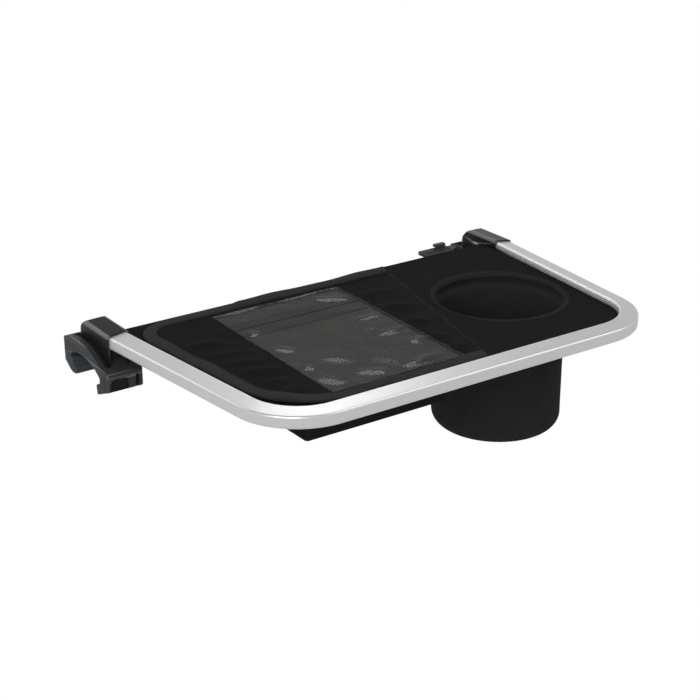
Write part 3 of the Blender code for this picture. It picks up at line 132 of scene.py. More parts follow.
def rounded(corners, radii, steps=ROUND_STEPS):
    """A closed outline with each corner cut back to an arc that touches both its sides."""
    points = []
    count = len(corners)
    for k in range(count):
        here = np.array(corners[k], float)
        before = np.array(corners[k - 1], float) - here
        after = np.array(corners[(k + 1) % count], float) - here
        before /= np.linalg.norm(before)
        after /= np.linalg.norm(after)
        half = math.acos(float(np.clip(before @ after, -1.0, 1.0))) / 2.0
        run = radii[k] / math.tan(half)
        middle = before + after
        centre = here + middle / np.linalg.norm(middle) * radii[k] / math.sin(half)
        first = here + before * run - centre
        last = here + after * run - centre
        start = math.degrees(math.atan2(first[1], first[0]))
        turn = math.degrees(math.atan2(last[1], last[0])) - start
        turn = (turn + 180.0) % 360.0 - 180.0
        points.append(bow(centre[0], centre[1], radii[k], start, start + turn, steps))
    return np.concatenate(points)


def held(points):
    """The same closed line with two more points near the ends of each long straight run."""
    ahead = np.roll(points, -1, axis=0)
    run = np.linalg.norm(ahead - points, axis=1, keepdims=True)
    step = (ahead - points) / np.maximum(run, EDGE_HOLD) * EDGE_HOLD
    rows = np.stack([points, points + step, ahead - step], axis=1)
    straight = run[:, 0] > EDGE_HOLD * LONG_RUN
    keep = np.stack([run[:, 0] > 0.0, straight, straight], axis=1)
    return rows[keep]


@contextlib.contextmanager
def edited(mesh):
    """A mesh opened for a change, then written back with smooth shading."""
    shape = bmesh.new()
    shape.from_mesh(mesh)
    yield shape
    shape.to_mesh(mesh)
    shape.free()
    mesh.shade_smooth()


def in_scene(name, body):
    """Shows a mesh, a lamp or a camera as an object at the origin."""
    made = bpy.data.objects.new(name, body)
    scene.collection.objects.link(made)
    return made


def surface(name, grid, around=False, ends=False, facing=None, keep=None):
    """A mesh over a grid of rows and columns, whose columns may close into rings and whose end
    rows may be filled. Its map holds the lengths along columns and rows. An open sheet turns
    its face to the given side, and only the cells to keep get a face."""
    rows, columns = grid.shape[:2]
    index = np.arange(rows * columns).reshape(rows, columns)
    line = grid
    if around:
        index = np.concatenate([index, index[:, :1]], axis=1)
        line = np.concatenate([grid, grid[:, :1]], axis=1)
    along = np.linalg.norm(np.diff(line[rows // 2], axis=0), axis=1)
    across = np.linalg.norm(np.diff(line[:, columns // 3], axis=0), axis=1)
    u = np.concatenate([[0.0], np.cumsum(along)])
    v = np.concatenate([[0.0], np.cumsum(across)])
    both = np.stack(np.broadcast_arrays(u[None, :], v[:, None]), axis=-1)
    corners = ((slice(None, -1), slice(None, -1)), (slice(None, -1), slice(1, None)))
    corners += ((slice(1, None), slice(1, None)), (slice(1, None), slice(None, -1)))
    quads = np.stack([index[c] for c in corners], axis=-1)
    spots = np.stack([both[c] for c in corners], axis=-2)
    if keep is not None:
        quads, spots = quads[keep], spots[keep]
    faces = quads.reshape(-1, 4).tolist()
    spots = spots.reshape(-1, 2)
    if ends:
        for row in (0, -1):
            ring = index[row, :columns]
            faces.append(ring.tolist())
            spots = np.concatenate([spots, grid[row].reshape(-1, 3)[:, :2]])
    body = bpy.data.meshes.new(name)
    body.from_pydata(grid.reshape(-1, 3).tolist(), [], faces)
    cloth = body.uv_layers.new(name="cloth")
    cloth.data.foreach_set("uv", spots.astype(np.float32).ravel())
    with edited(body) as shape:
        bmesh.ops.delete(shape, geom=[v for v in shape.verts if not v.link_faces], context="VERTS")
        bmesh.ops.recalc_face_normals(shape, faces=shape.faces)
        if facing is not None:
            total = sum((face.normal * face.calc_area() for face in shape.faces), Vector())
            if total.dot(Vector(facing)) < 0.0:
                bmesh.ops.reverse_faces(shape, faces=shape.faces)
    return in_scene(name, body)


def paint(piece, mat):
    """Adds a material to a piece."""
    piece.data.materials.append(mat)


def thicken(piece, thickness):
    """Gives a sheet its thickness, on the back of its face."""
    wall = piece.modifiers.new("thickness", "SOLIDIFY")
    wall.thickness = thickness
    return wall


def substance(name, colour, roughness, metallic=0.0, **sockets):
    """A material of one shader, whose own sockets hold every value that is the same all over."""
    mat = bpy.data.materials.new(name)
    mat.use_nodes = True
    shader = mat.node_tree.nodes["Principled BSDF"]
    shader.inputs["Base Color"].default_value = (*colour, 1.0)
    shader.inputs["Roughness"].default_value = roughness
    shader.inputs["Metallic"].default_value = metallic
    for key, value in sockets.items():
        shader.inputs[key.replace("_", " ")].default_value = value
    return mat


def put(mat, kind, inputs=None, **settings):
    """Adds a shader node of a kind, sets it up, and joins or sets its inputs."""
    made = mat.node_tree.nodes.new("ShaderNode" + kind)
    for key, value in settings.items():
        setattr(made, key, value)
    for key, value in (inputs or {}).items():
        if isinstance(value, bpy.types.NodeSocket):
            mat.node_tree.links.new(value, made.inputs[key])
        else:
            made.inputs[key].default_value = value
    return made


def join(mat, socket, name):
    """Joins a node's output to the shader's input of that name."""
    mat.node_tree.links.new(socket, mat.node_tree.nodes["Principled BSDF"].inputs[name])


def sums(mat, kind, one, two=0.0):
    """One step of arithmetic on two values or outputs."""
    return put(mat, "Math", {0: one, 1: two}, operation=kind).outputs[0]


def cloud(mat, scale, detail=2.0):
    """Smooth noise over the object's own coordinates."""
    where = put(mat, "TexCoord").outputs["Object"]
    noise = put(mat, "TexNoise", {"Vector": where, "Scale": scale, "Detail": detail})
    return noise.outputs["Fac"]


def spread(mat, value, low, high):
    """Carries a value from 0 to 1 over to a range of numbers."""
    made = put(mat, "MapRange", {"Value": value, "To Min": low, "To Max": high})
    return made.outputs[0]


def tint(mat, value, low, high):
    """Blends two colours by a value and paints the piece with them."""
    made = put(mat, "Mix", {"Factor": value}, data_type="RGBA")
    made.inputs[6].default_value = (*low, 1.0)
    made.inputs[7].default_value = (*high, 1.0)
    join(mat, made.outputs[2], "Base Color")


def relief(mat, height, depth, strength=1.0):
    """Raises the surface by a height pattern of the given depth in metres."""
    made = put(mat, "Bump", {"Height": height, "Distance": depth, "Strength": strength})
    join(mat, made.outputs[0], "Normal")


def shade(colour, share):
    """The same colour made lighter or darker."""
    return tuple(channel * share for channel in colour)


def mottled(mat, value, colour, change):
    """Paints the piece with a colour that turns darker and lighter with a value."""
    tint(mat, value, shade(colour, 1.0 - change), shade(colour, 1.0 + change))


anodised = substance(
    "satin_anodised_aluminium", ALUMINIUM, METAL_ROUGHNESS[0], metallic=ANODISED_METAL
)
mottled(anodised, cloud(anodised, METAL_CLOUD), ALUMINIUM, METAL_TONE)
join(anodised, spread(anodised, cloud(anodised, METAL_SHINE_CLOUD), *METAL_ROUGHNESS), "Roughness")
grain = cloud(anodised, METAL_GRAIN, GRAIN_DETAIL)
relief(anodised, grain, METAL_GRAIN_DEPTH, METAL_GRAIN_STRENGTH)

half_tube = TUBE_WIDTH / 2.0
section = rounded(
    [
        (half_tube, -TUBE_DEPTH),
        (half_tube, 0.0),
        (-half_tube, TUBE_TOP_RISE),
        (-half_tube, -TUBE_DEPTH),
    ],
    [TUBE_BOTTOM_ROUND, TUBE_TOP_ROUND, TUBE_TOP_ROUND, TUBE_BOTTOM_ROUND],
)
channel_x = CHANNEL_SETBACK - half_tube
lip_turn = 180.0 - math.degrees(math.asin(CHANNEL_GAP / 2.0 / CHANNEL_RADIUS))
channel = bow(channel_x, -DECK_LEVEL, CHANNEL_RADIUS, lip_turn, -lip_turn, CHANNEL_STEPS)
mouth = [(-half_tube, -DECK_LEVEL + CHANNEL_GAP / 2.0)]
mouth_end = [(-half_tube, -DECK_LEVEL - CHANNEL_GAP / 2.0)]
turn_in = 3 * (ROUND_STEPS + 1)
groove = [
    (-half_tube, GROOVE_TOP),
    (GROOVE_DEPTH - half_tube, GROOVE_TOP - GROOVE_LEAN),
    (GROOVE_DEPTH - half_tube, GROOVE_BOTTOM + GROOVE_LEAN),
    (-half_tube, GROOVE_BOTTOM),
]
section = np.concatenate([section[:turn_in], groove, mouth, channel, mouth_end, section[turn_in:]])
section = held(section)
lines = np.stack([frame_line(half_tube - u, ARM_END) for u in section[:, 0]], axis=1)
tube = surface(
    "frame_tube_skin", placed(lines[..., 0], lines[..., 1], section[None, :, 1]), True, True
)
tube.data.set_sharp_from_angle(angle=TUBE_SHARP)
paint(tube, anodised)
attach(tube, "tray")
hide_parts("frame_tube")

# End caps: moulded housings of satin black plastic, pushed over the ends of the tube. Each holds
# a foot that slides in the track of its clamp.
CAP_BLACK = (0.013, 0.013, 0.0135)
HOUSING_GREY = (0.034, 0.035, 0.037)
EDGE_PAINTED_HIGHLIGHT = (0.110, 0.110, 0.112)
EDGE_NARROW = 0.00036
SHARP_ANGLE = math.radians(32.0)
MERGE_GAP = EDGE_HOLD / 20.0
PLASTIC_TONE = 0.1
PLASTIC_CLOUD = 120.0
PLASTIC_SHINE = 0.05
PLASTIC_SHINE_CLOUD = 300.0
GRAIN_STRENGTH = 0.5
CAP_FINISH = (0.30, 1600.0, 0.00002, 0.14)
HOUSING_FINISH = (0.42, 1300.0, 0.00004, 0.14)
EDGE_FINISH = (0.30, 1600.0, 0.00002, 0.30)


def moulded(name, colour, finish):
    """Moulded plastic: a fine even grain, and small patches that shine more or less. The finish
    gives its roughness, how fine and how deep the grain is, and its gloss."""
    roughness, grain, depth, gloss = finish
    mat = substance(name, colour, roughness, Specular_IOR_Level=gloss)
    mottled(mat, cloud(mat, PLASTIC_CLOUD), colour, PLASTIC_TONE)
    patches = cloud(mat, PLASTIC_SHINE_CLOUD)
    shine = spread(mat, patches, roughness - PLASTIC_SHINE, roughness + PLASTIC_SHINE)
    join(mat, shine, "Roughness")
    relief(mat, cloud(mat, grain, GRAIN_DETAIL), depth, GRAIN_STRENGTH)
    return mat


def read(group, key, size=1, kind=np.float32):
    """One value or one vector of every item of a mesh's group, as an array."""
    values = np.empty(len(group) * size, kind)
    group.foreach_get(key, values)
    return values.reshape(-1, size)


def narrow_faces(mesh):
    """Which faces are the narrow strips of a rounded edge: area over longest side is small."""
    ends = read(mesh.edges, "vertices", 2, np.int32)
    gaps = np.diff(read(mesh.vertices, "co", 3)[ends], axis=1)[:, 0]
    sides = read(mesh.loops, "edge_index", kind=np.int32)[:, 0]
    starts = read(mesh.polygons, "loop_start", kind=np.int32)[:, 0]
    longest = np.maximum.reduceat(np.linalg.norm(gaps, axis=1)[sides], starts)
    return read(mesh.polygons, "area")[:, 0] / longest < EDGE_NARROW


def dressed(name, mat, edge=None):
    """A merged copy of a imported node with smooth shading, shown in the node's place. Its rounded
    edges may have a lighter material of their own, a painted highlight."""
    node = frame["nodes"][name]
    copy = in_scene(name + "_skin", node.data.copy())
    with edited(copy.data) as shape:
        bmesh.ops.remove_doubles(shape, verts=shape.verts, dist=MERGE_GAP)
    if "custom_normal" in copy.data.attributes:
        copy.data.attributes.remove(copy.data.attributes["custom_normal"])
    copy.data.set_sharp_from_angle(angle=SHARP_ANGLE)
    copy.data.materials.clear()
    paint(copy, mat)
    if edge:
        paint(copy, edge)
        copy.data.polygons.foreach_set("material_index", narrow_faces(copy.data).astype(np.int32))
        copy.modifiers.new("flat_faces", "WEIGHTED_NORMAL").keep_sharp = True
    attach(copy, node["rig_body"])
    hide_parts(name)
    return copy


cap_plastic = moulded("satin_black_plastic", CAP_BLACK, CAP_FINISH)
housing_plastic = moulded("matt_grey_plastic", HOUSING_GREY, HOUSING_FINISH)
# The lighter edge plastic is a painted highlight on the narrow faces of rounded edges.
highlight_edge_plastic = moulded("painted_edge_highlight", EDGE_PAINTED_HIGHLIGHT, EDGE_FINISH)
for hand in ("left", "right"):
    dressed(hand + "_end_cap", cap_plastic, edge=highlight_edge_plastic)
    dressed(hand + "_tilt_foot", housing_plastic)

# Deck: black woven fabric, stretched in the U with its welt in the channel. It has one cut for
# the pocket and turns down smoothly into the cup holder.
DECK_THICKNESS = 0.0010
DECK_TOP = -0.0030
DECK_BACK = 0.1985
DECK_INSET = 0.0126
CAP_SHELL = 0.00125
SEAM_FRONT_X = 0.01222
SEAM_SLOPE = 0.2420
CUP_X = 0.09607
CUP_Y = 0.1037
CUP_RADIUS = 0.0450
CUP_ROLL = 0.0032
POCKET_LEFT = -0.1210
POCKET_RIGHT = -0.0130
POCKET_FRONT = 0.0250
POCKET_BACK = 0.1810
POCKET_ROUND = 0.0025
RAYS = 240
ROLL_STEPS = 8
CUP_SIDE_RINGS = 25
LID_SIDE_RINGS = 13
NOTCH = 4
NEARLY_ZERO = 1e-12
NEARLY_WHOLE = 1e-6
DECK_WAVE = 0.00025
CUP_SIDE_RATES = ((95.0, 38.0), (-52.0, 120.0))
LID_SIDE_RATES = ((130.0, 55.0), (0.0, 160.0))
BLACK_CLOTH = (0.0140, 0.0140, 0.0144)
ROLL_PAINTED_LIGHT_BLACK = (0.0200, 0.0200, 0.0206)
DECK_WEAVE = (0.00110, 0.00006, 0.88, 0.01)
ROLL_WEAVE = (0.00055, 0.00002, 0.75, 0.02)
WEAVE_TONES = (0.25, 0.55)
FADE_CLOUD = 90.0
FADE_SHARE = 0.5
CLOTH_TONE = 0.35
NAP_CLOUD = 900.0
WEAVE_STRENGTH = 0.6


def seam_x(y):
    """The slanting seam: a straight line that moves right as it goes back."""
    return SEAM_FRONT_X + SEAM_SLOPE * y


def reach(centre, turns, outline):
    """How far a ray from the centre runs at each angle until it crosses the closed outline."""
    ahead = np.roll(outline, -1, axis=0) - outline
    start = outline - centre
    way = np.stack([np.cos(turns), np.sin(turns)], axis=-1)[:, None, :]
    wedge = way[..., 0] * ahead[:, 1] - way[..., 1] * ahead[:, 0]
    wedge = np.where(np.abs(wedge) < NEARLY_ZERO, NEARLY_ZERO, wedge)
    distance = (start[:, 0] * ahead[:, 1] - start[:, 1] * ahead[:, 0]) / wedge
    share = (start[:, 0] * way[..., 1] - start[:, 1] * way[..., 0]) / wedge
    hit = (distance > 0.0) & (share > -NEARLY_WHOLE) & (share < 1.0 + NEARLY_WHOLE)
    return np.where(hit, distance, np.inf).min(axis=1)


def angles_round(centre, outline):
    """Evenly spaced angles together with those of the outline's own corners, in order."""
    to = outline - centre
    corners = np.arctan2(to[:, 1], to[:, 0])
    return np.unique(np.round(np.concatenate([np.linspace(-np.pi, np.pi, RAYS)[1:], corners]), 6))


def waving(x, y, rates):
    """Sum of sine waves, each with its own turns a metre along x and along y."""
    return sum(np.sin(x * across + y * back) for across, back in rates)


def two_sines(mat, where, pitch):
    """Sine waves along x and along y of a place, which repeat at the given pitch."""
    split = put(mat, "SeparateXYZ", {0: where})
    turned = [sums(mat, "MULTIPLY", split.outputs[k], 2.0 * math.pi / pitch) for k in (0, 1)]
    return [sums(mat, "SINE", turn) for turn in turned]


def woven(name, colour, finish):
    """Plain weave: the product of two sine waves along and across the cloth, with a soft nap. The
    finish gives its pitch and depth, and the cloth's roughness and gloss."""
    pitch, depth, roughness, gloss = finish
    mat = substance(name, colour, roughness, Specular_IOR_Level=gloss)
    where = put(mat, "UVMap", uv_map="cloth").outputs[0]
    weave = sums(mat, "MULTIPLY", *two_sines(mat, where, pitch))
    faded = spread(mat, cloud(mat, FADE_CLOUD), 0.0, FADE_SHARE)
    mottled(mat, sums(mat, "ADD", spread(mat, weave, *WEAVE_TONES), faded), colour, CLOTH_TONE)
    height = sums(mat, "ADD", weave, cloud(mat, NAP_CLOUD, GRAIN_DETAIL))
    relief(mat, height, depth, WEAVE_STRENGTH)
    return mat


def deck_outline():
    """Outline of the deck: in the channel along the U, then in beside each cap to the back."""
    beside = CAP_HALF_WIDTH - TUBE_WIDTH - CAP_SHELL - EDGE_HOLD
    line = frame_line(DECK_INSET, CAP_FRONT)[1:-1]
    notch = CAP_FRONT - EDGE_HOLD * NOTCH
    line = line[line[:, 1] < notch]
    start = [(-beside, DECK_BACK), (-beside, notch)]
    return np.concatenate([start, line, [(beside, notch), (beside, DECK_BACK)]])


def beside_seam(outline, right):
    """The part of an outline on one side of the slanting seam, closed along the seam."""
    front = outline[:, 1].min()
    side = outline[:, 0] - seam_x(outline[:, 1])
    kept = outline[side > 0.0] if right else outline[side < 0.0]
    ends = np.array([(seam_x(front), front), (seam_x(DECK_BACK), DECK_BACK)])
    return np.concatenate([kept, ends[::-1]]) if right else np.concatenate([kept, ends])


cloth_black = woven("black_woven_cloth", BLACK_CLOTH, DECK_WEAVE)
whole = deck_outline()
cup_centre = np.array([CUP_X, CUP_Y])
cup_side = beside_seam(whole, True)
turns = angles_round(cup_centre, cup_side)
rays_right = len(turns)
far = reach(cup_centre, turns, cup_side)
roll = bow(CUP_RADIUS + CUP_ROLL, DECK_TOP - CUP_ROLL, CUP_ROLL, 180.0, 90.0, ROLL_STEPS)
share = np.linspace(0.0, 1.0, CUP_SIDE_RINGS + 1)[1:, None]
radius = np.concatenate(
    [
        np.broadcast_to(roll[:, :1], (len(roll), len(turns))),
        CUP_RADIUS + CUP_ROLL + (far - CUP_RADIUS - CUP_ROLL) * share,
    ]
)
x = CUP_X + radius * np.cos(turns)
y = CUP_Y + radius * np.sin(turns)
wave = waving(x, y, CUP_SIDE_RATES) - len(CUP_SIDE_RATES)
fade = np.concatenate([np.zeros((len(roll), 1)), np.sin(np.pi * share)])
height = np.concatenate([roll[:, 1:], np.full((CUP_SIDE_RINGS, 1), DECK_TOP)])
deck_right = surface(
    "deck_cup_side", placed(x, y, height + wave * DECK_WAVE * fade), True, facing=(0, 0, 1)
)
pocket_box = [
    (POCKET_LEFT, POCKET_FRONT),
    (POCKET_RIGHT, POCKET_FRONT),
    (POCKET_RIGHT, POCKET_BACK),
    (POCKET_LEFT, POCKET_BACK),
]
pocket_line = rounded(pocket_box, [POCKET_ROUND] * 4)
pocket_centre = np.array([(POCKET_LEFT + POCKET_RIGHT) / 2.0, (POCKET_FRONT + POCKET_BACK) / 2.0])
lid_side = beside_seam(whole, False)
turns = angles_round(pocket_centre, np.concatenate([lid_side, pocket_line]))
near = reach(pocket_centre, turns, pocket_line)
far = reach(pocket_centre, turns, lid_side)
share = np.linspace(0.0, 1.0, LID_SIDE_RINGS + 1)[:, None]
radius = near + (far - near) * share
x = pocket_centre[0] + radius * np.cos(turns)
y = pocket_centre[1] + radius * np.sin(turns)
wave = waving(x, y, LID_SIDE_RATES) - len(LID_SIDE_RATES)
deck_left = surface(
    "deck_lid_side",
    placed(x, y, DECK_TOP + wave * DECK_WAVE * np.sin(np.pi * share)),
    True,
    facing=(0, 0, 1),
)
roll_painted_light = woven("black_roll_painted_light", ROLL_PAINTED_LIGHT_BLACK, ROLL_WEAVE)
for piece in (deck_right, deck_left):
    paint(piece, cloth_black)
    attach(piece, "tray")
    thicken(piece, DECK_THICKNESS)
# The roll into the cup's mouth gets a lighter, finer copy of the cloth; the lighter colour is
# painted light on the roll.
paint(deck_right, roll_painted_light)
rolled = np.arange(len(deck_right.data.polygons)) < len(roll) * rays_right
deck_right.data.polygons.foreach_set("material_index", rolled.astype(np.int32))
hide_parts("deck_panel", "cup_lip", "welt_cord")

# Rear hem: the deck's back edge folded round a thin steel rod. The cloth lies on the rod in
# slight waves.
HEM_RADIUS = 0.0025
HEM_SETBACK = 0.0027
HEM_DROP = 0.0070
HEM_WAVE = 0.00045
HEM_RATES = (75.0, 31.0)
HEM_FOLD = 0.08
HEM_FOLD_RATE = 210.0
HEM_ROWS = 180
HEM_SIDES = 24
STEEL = (0.55, 0.55, 0.56)
ROD_ROUGHNESS = 0.28


def round_turns(count):
    """Evenly spaced angles once round, as one row."""
    return np.linspace(0.0, 2.0 * np.pi, count + 1)[:-1][None, :]


hem_end = CAP_HALF_WIDTH - TUBE_WIDTH - CAP_SHELL - EDGE_HOLD
along = np.linspace(-hem_end, hem_end, HEM_ROWS)[:, None]
turn = round_turns(HEM_SIDES)
ripple = np.sin(along * HEM_RATES[0]) * np.sin(along * HEM_RATES[1] + 1.0)
fold = HEM_RADIUS * (1.0 + HEM_FOLD * np.sin(along * HEM_FOLD_RATE + 2.0 * turn))
hem = surface(
    "rear_hem_fold",
    placed(
        along,
        DECK_BACK - HEM_SETBACK + ripple * HEM_WAVE + fold * np.cos(turn),
        -HEM_DROP + ripple * HEM_WAVE / 2.0 + fold * np.sin(turn),
    ),
    True,
    True,
)
paint(hem, cloth_black)
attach(hem, "tray")
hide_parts("rear_hem")
dressed("rear_hem_rod", substance("bright_steel", STEEL, ROD_ROUGHNESS, metallic=1.0))

# Pocket: a flat bag of the same cloth, sewn under the deck's cut. Its sides bow out a little
# and its bottom edge is a seam.
POCKET_WALL = 0.0012
POCKET_FLANGE = 0.0045
POCKET_TOP = -0.0045
POCKET_BOTTOM = -0.0276
POCKET_EDGE = 0.0016
POCKET_BOW = 0.00066
POCKET_PUCKER = 0.0001375
POCKET_PUCKER_RATE = 23.0
POCKET_SAG = 0.0010
POCKET_SAG_LIMIT = 0.0030
POCKET_WAVE = 75.0
POCKET_WAVE_SHARE = 0.5
POCKET_FLOOR_FADE = 6
POCKET_ROWS = 14
POCKET_EDGE_STEPS = 5
POCKET_FLOOR_RINGS = 15
POCKET_MIDDLE = 0.02


def close_bottom(piece, rise):
    """Fills the small ring left open in the middle of a bottom, no higher than the given rise."""
    with edited(piece.data) as shape:
        limit = min(v.co.z for v in shape.verts) + rise
        ring = [e for e in shape.edges if e.is_boundary and e.verts[0].co.z < limit]
        bmesh.ops.contextual_create(shape, geom=ring)


turns = angles_round(pocket_centre, pocket_line)
inner = reach(pocket_centre, turns, pocket_line)
rise = np.linspace(0.0, 1.0, POCKET_ROWS)[:, None]
side_z = POCKET_TOP - POCKET_WALL + (POCKET_BOTTOM + POCKET_EDGE - POCKET_TOP + POCKET_WALL) * rise
pucker = POCKET_PUCKER * np.sin(turns * POCKET_PUCKER_RATE) * np.sin(np.pi * rise) ** 2
side_r = inner + POCKET_WALL + POCKET_BOW * np.sin(np.pi * rise) + pucker
edge = bow(-POCKET_EDGE, POCKET_BOTTOM + POCKET_EDGE, POCKET_EDGE, 0.0, -90.0, POCKET_EDGE_STEPS)[1:]
floor_share = np.linspace(1.0, POCKET_MIDDLE, POCKET_FLOOR_RINGS + 1)[1:, None]
floor_r = (inner + POCKET_WALL - POCKET_EDGE) * floor_share
wave = np.sin(floor_r * np.cos(turns) * POCKET_WAVE) * np.sin(floor_r * np.sin(turns) * POCKET_WAVE)
floor_sag = POCKET_SAG * (1.0 + POCKET_WAVE_SHARE * wave) * (1.0 - floor_share**POCKET_FLOOR_FADE)
radius = [inner[None] + POCKET_FLANGE, side_r, inner + POCKET_WALL + edge[:, :1], floor_r]
radius = np.concatenate(radius)
height = np.concatenate(
    [
        np.full((1, len(turns)), POCKET_TOP),
        np.broadcast_to(side_z, side_r.shape),
        np.broadcast_to(edge[:, 1:], (len(edge), len(turns))),
        POCKET_BOTTOM + floor_sag,
    ]
)
grid = placed(
    pocket_centre[0] + radius * np.cos(turns), pocket_centre[1] + radius * np.sin(turns), height
)
pocket = surface("pocket_bag", grid, True, facing=(0, 0, -1))
close_bottom(pocket, POCKET_SAG_LIMIT)
paint(pocket, cloth_black)
thicken(pocket, POCKET_WALL)
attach(pocket, "tray")
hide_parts("pocket_tub")

# Cup holder: a sleeve of stiffened cloth with one upright seam, a round bottom and a hoop sewn
# into a casing under the deck. A board disc lies in it.
CUP_WALL = 0.0012
CUP_BOTTOM = -0.1001
CUP_BOTTOM_ROUND = 0.0100
CUP_FLANGE = 0.0050
CUP_COLUMNS = 160
CUP_ROWS = 46
CUP_BEND_STEPS = 12
CUP_BASE_RINGS = 11
CUP_MIDDLE = 0.01
CASING_DROP = 0.0100
CASING_MIDDLE = 0.0040
CASING_HALF = 0.0026
CASING_BULGE = 0.0027
CUP_SEAM_ANGLE = math.radians(186.0)
CUP_SEAM_WIDTH = math.radians(1.3)
CUP_SEAM_RISE = 0.0009
CUP_RIPPLES = ((0.00018, 5.0, 3.0), (0.000108, 9.0, -7.0))
CUP_EASE = 0.0007
CUP_SHADE = 1.5
LINING_PAINTED_LIGHT = 1.8
CUP_WEAVE = (0.00110, 0.00006, 0.80, 0.03)
BOARD_BLACK = (0.013, 0.013, 0.014)
BOARD_FINISH = (0.75, 700.0, 0.00008, 0.10)
cup_top = DECK_TOP - CUP_ROLL - EDGE_HOLD * 2
turns = round_turns(CUP_COLUMNS)
outer = CUP_RADIUS + CUP_WALL + CUP_EASE
side_z = np.linspace(cup_top - CUP_WALL, CUP_BOTTOM + CUP_BOTTOM_ROUND, CUP_ROWS)[:, None]
depth = (side_z - cup_top) / (CUP_BOTTOM - cup_top)
casing = CASING_BULGE * np.exp(-(((side_z - cup_top + CASING_MIDDLE) / CASING_HALF) ** 4))
ripple = sum(size * np.sin(turns * around + depth * down) for size, around, down in CUP_RIPPLES)
seam = CUP_SEAM_RISE * np.exp(-(((turns - CUP_SEAM_ANGLE) / CUP_SEAM_WIDTH) ** 2))
side_r = outer + casing + ripple * np.sin(np.pi * depth) + seam
flat_r = outer - CUP_BOTTOM_ROUND
bend = bow(flat_r, CUP_BOTTOM + CUP_BOTTOM_ROUND, CUP_BOTTOM_ROUND, 0.0, -90.0, CUP_BEND_STEPS)[1:]
base_r = flat_r * np.linspace(1.0, CUP_MIDDLE, CUP_BASE_RINGS + 1)[1:, None]
radius = np.concatenate(
    [
        np.full((1, CUP_COLUMNS), CUP_RADIUS + CUP_FLANGE),
        side_r,
        np.broadcast_to(bend[:, :1], (CUP_BEND_STEPS, CUP_COLUMNS)),
        np.broadcast_to(base_r, (CUP_BASE_RINGS, CUP_COLUMNS)),
    ]
)
base_z = np.full((CUP_BASE_RINGS, 1), CUP_BOTTOM)
height = np.concatenate([[[cup_top]], side_z, bend[:, 1:], base_z])
cup = surface(
    "cup_holder_sleeve",
    placed(CUP_X + radius * np.cos(turns), CUP_Y + radius * np.sin(turns), height),
    True,
    facing=(0, 0, -1),
)
close_bottom(cup, CUP_WALL)
paint(cup, woven("black_cup_cloth", shade(BLACK_CLOTH, CUP_SHADE), CUP_WEAVE))
# The inside of the sleeve gets a lighter copy of the cloth, painted light on the inner walls.
paint(cup, woven("black_cup_inside_painted_light", shade(BLACK_CLOTH, LINING_PAINTED_LIGHT), CUP_WEAVE))
thicken(cup, CUP_WALL).material_offset = 1
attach(cup, "tray")
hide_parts("cup_sleeve", "cup_hoop")
dressed("cup_base", moulded("black_lining_board", BOARD_BLACK, BOARD_FINISH))

# Lid: stretch cloth that lies in soft waves beside the window, stiffened by the binding. It
# opens about the slanting seam.
LID_FRONT = 0.0170
LID_BACK = 0.1915
LID_SIDE_MARGIN = 0.0040
LID_FRONT_CORNER = 0.0530
LID_BACK_CORNER = 0.0260
LID_SEAM_GAP = 0.0014
LID_CLOTH_TOP = -0.0007
LID_CLOTH_THICKNESS = 0.0009
BINDING_WIDTH = 0.0092
WINDOW_LEFT = -0.0993
WINDOW_RIGHT = 0.0024
WINDOW_FRONT = 0.0275
WINDOW_BACK = 0.1763
WINDOW_LEAN = 0.0035
LID_CORNER_STEPS = 16
LID_RUN_STEPS = 60
LID_TUCK = 0.0022
LID_TUCK_GAP = 0.00001
LID_EDGE_ROWS = 8
LID_WINDOW_ROWS = 120
LID_COLUMNS = 30
LID_RIPPLE = 0.00025
LID_RIPPLE_RATES = (90.0, 260.0, 70.0)
WAVE_WIDTH = 0.0055
WAVE_RISE = 0.0019
CLOTH_WAVES = (
    (-0.140, 0.141, -0.109, 0.135),
    (-0.141, 0.121, -0.100, 0.110),
    (-0.137, 0.103, -0.102, 0.092),
    (-0.133, 0.088, -0.104, 0.072),
    (-0.132, 0.065, -0.110, 0.056),
    (-0.128, 0.046, -0.106, 0.040),
    (0.007, 0.155, 0.040, 0.150),
    (0.006, 0.128, 0.032, 0.119),
    (0.008, 0.100, 0.023, 0.084),
    (0.006, 0.070, 0.015, 0.054),
    (0.005, 0.047, 0.014, 0.036),
)
STRETCH_BLACK = (0.0090, 0.0092, 0.0094)
STRETCH_KNIT = (0.00110, 0.00005, 0.60, 0.015)


def lid_line(inset):
    """Three free sides of the lid from its front end at the seam to its back end, drawn in."""
    side = LID_SIDE_MARGIN + TUBE_WIDTH + inset
    front = LID_FRONT + inset
    back = LID_BACK - inset
    corners = [
        (side * FLARE_LEAN - FRONT_HALF_WIDTH - FLARE_SLOPE * front, front),
        (seam_x(front) - LID_SEAM_GAP, front),
        (seam_x(back) - LID_SEAM_GAP, back),
        (side * FLARE_LEAN - FRONT_HALF_WIDTH - FLARE_SLOPE * back, back),
    ]
    radii = [LID_FRONT_CORNER - inset, EDGE_HOLD, EDGE_HOLD, LID_BACK_CORNER - inset]
    line = rounded(corners, radii, LID_CORNER_STEPS)
    count = LID_CORNER_STEPS + 1
    front_run = np.linspace(line[count], line[count - 1], LID_RUN_STEPS)[:-1]
    corner_front = line[:count][::-1]
    side_run = np.linspace(line[0], line[-1], LID_RUN_STEPS)[1:-1]
    corner_back = line[-count:][::-1]
    back_run = np.linspace(line[-count], line[-count - 1], LID_RUN_STEPS)[1:]
    return np.concatenate([front_run, corner_front, side_run, corner_back, back_run])


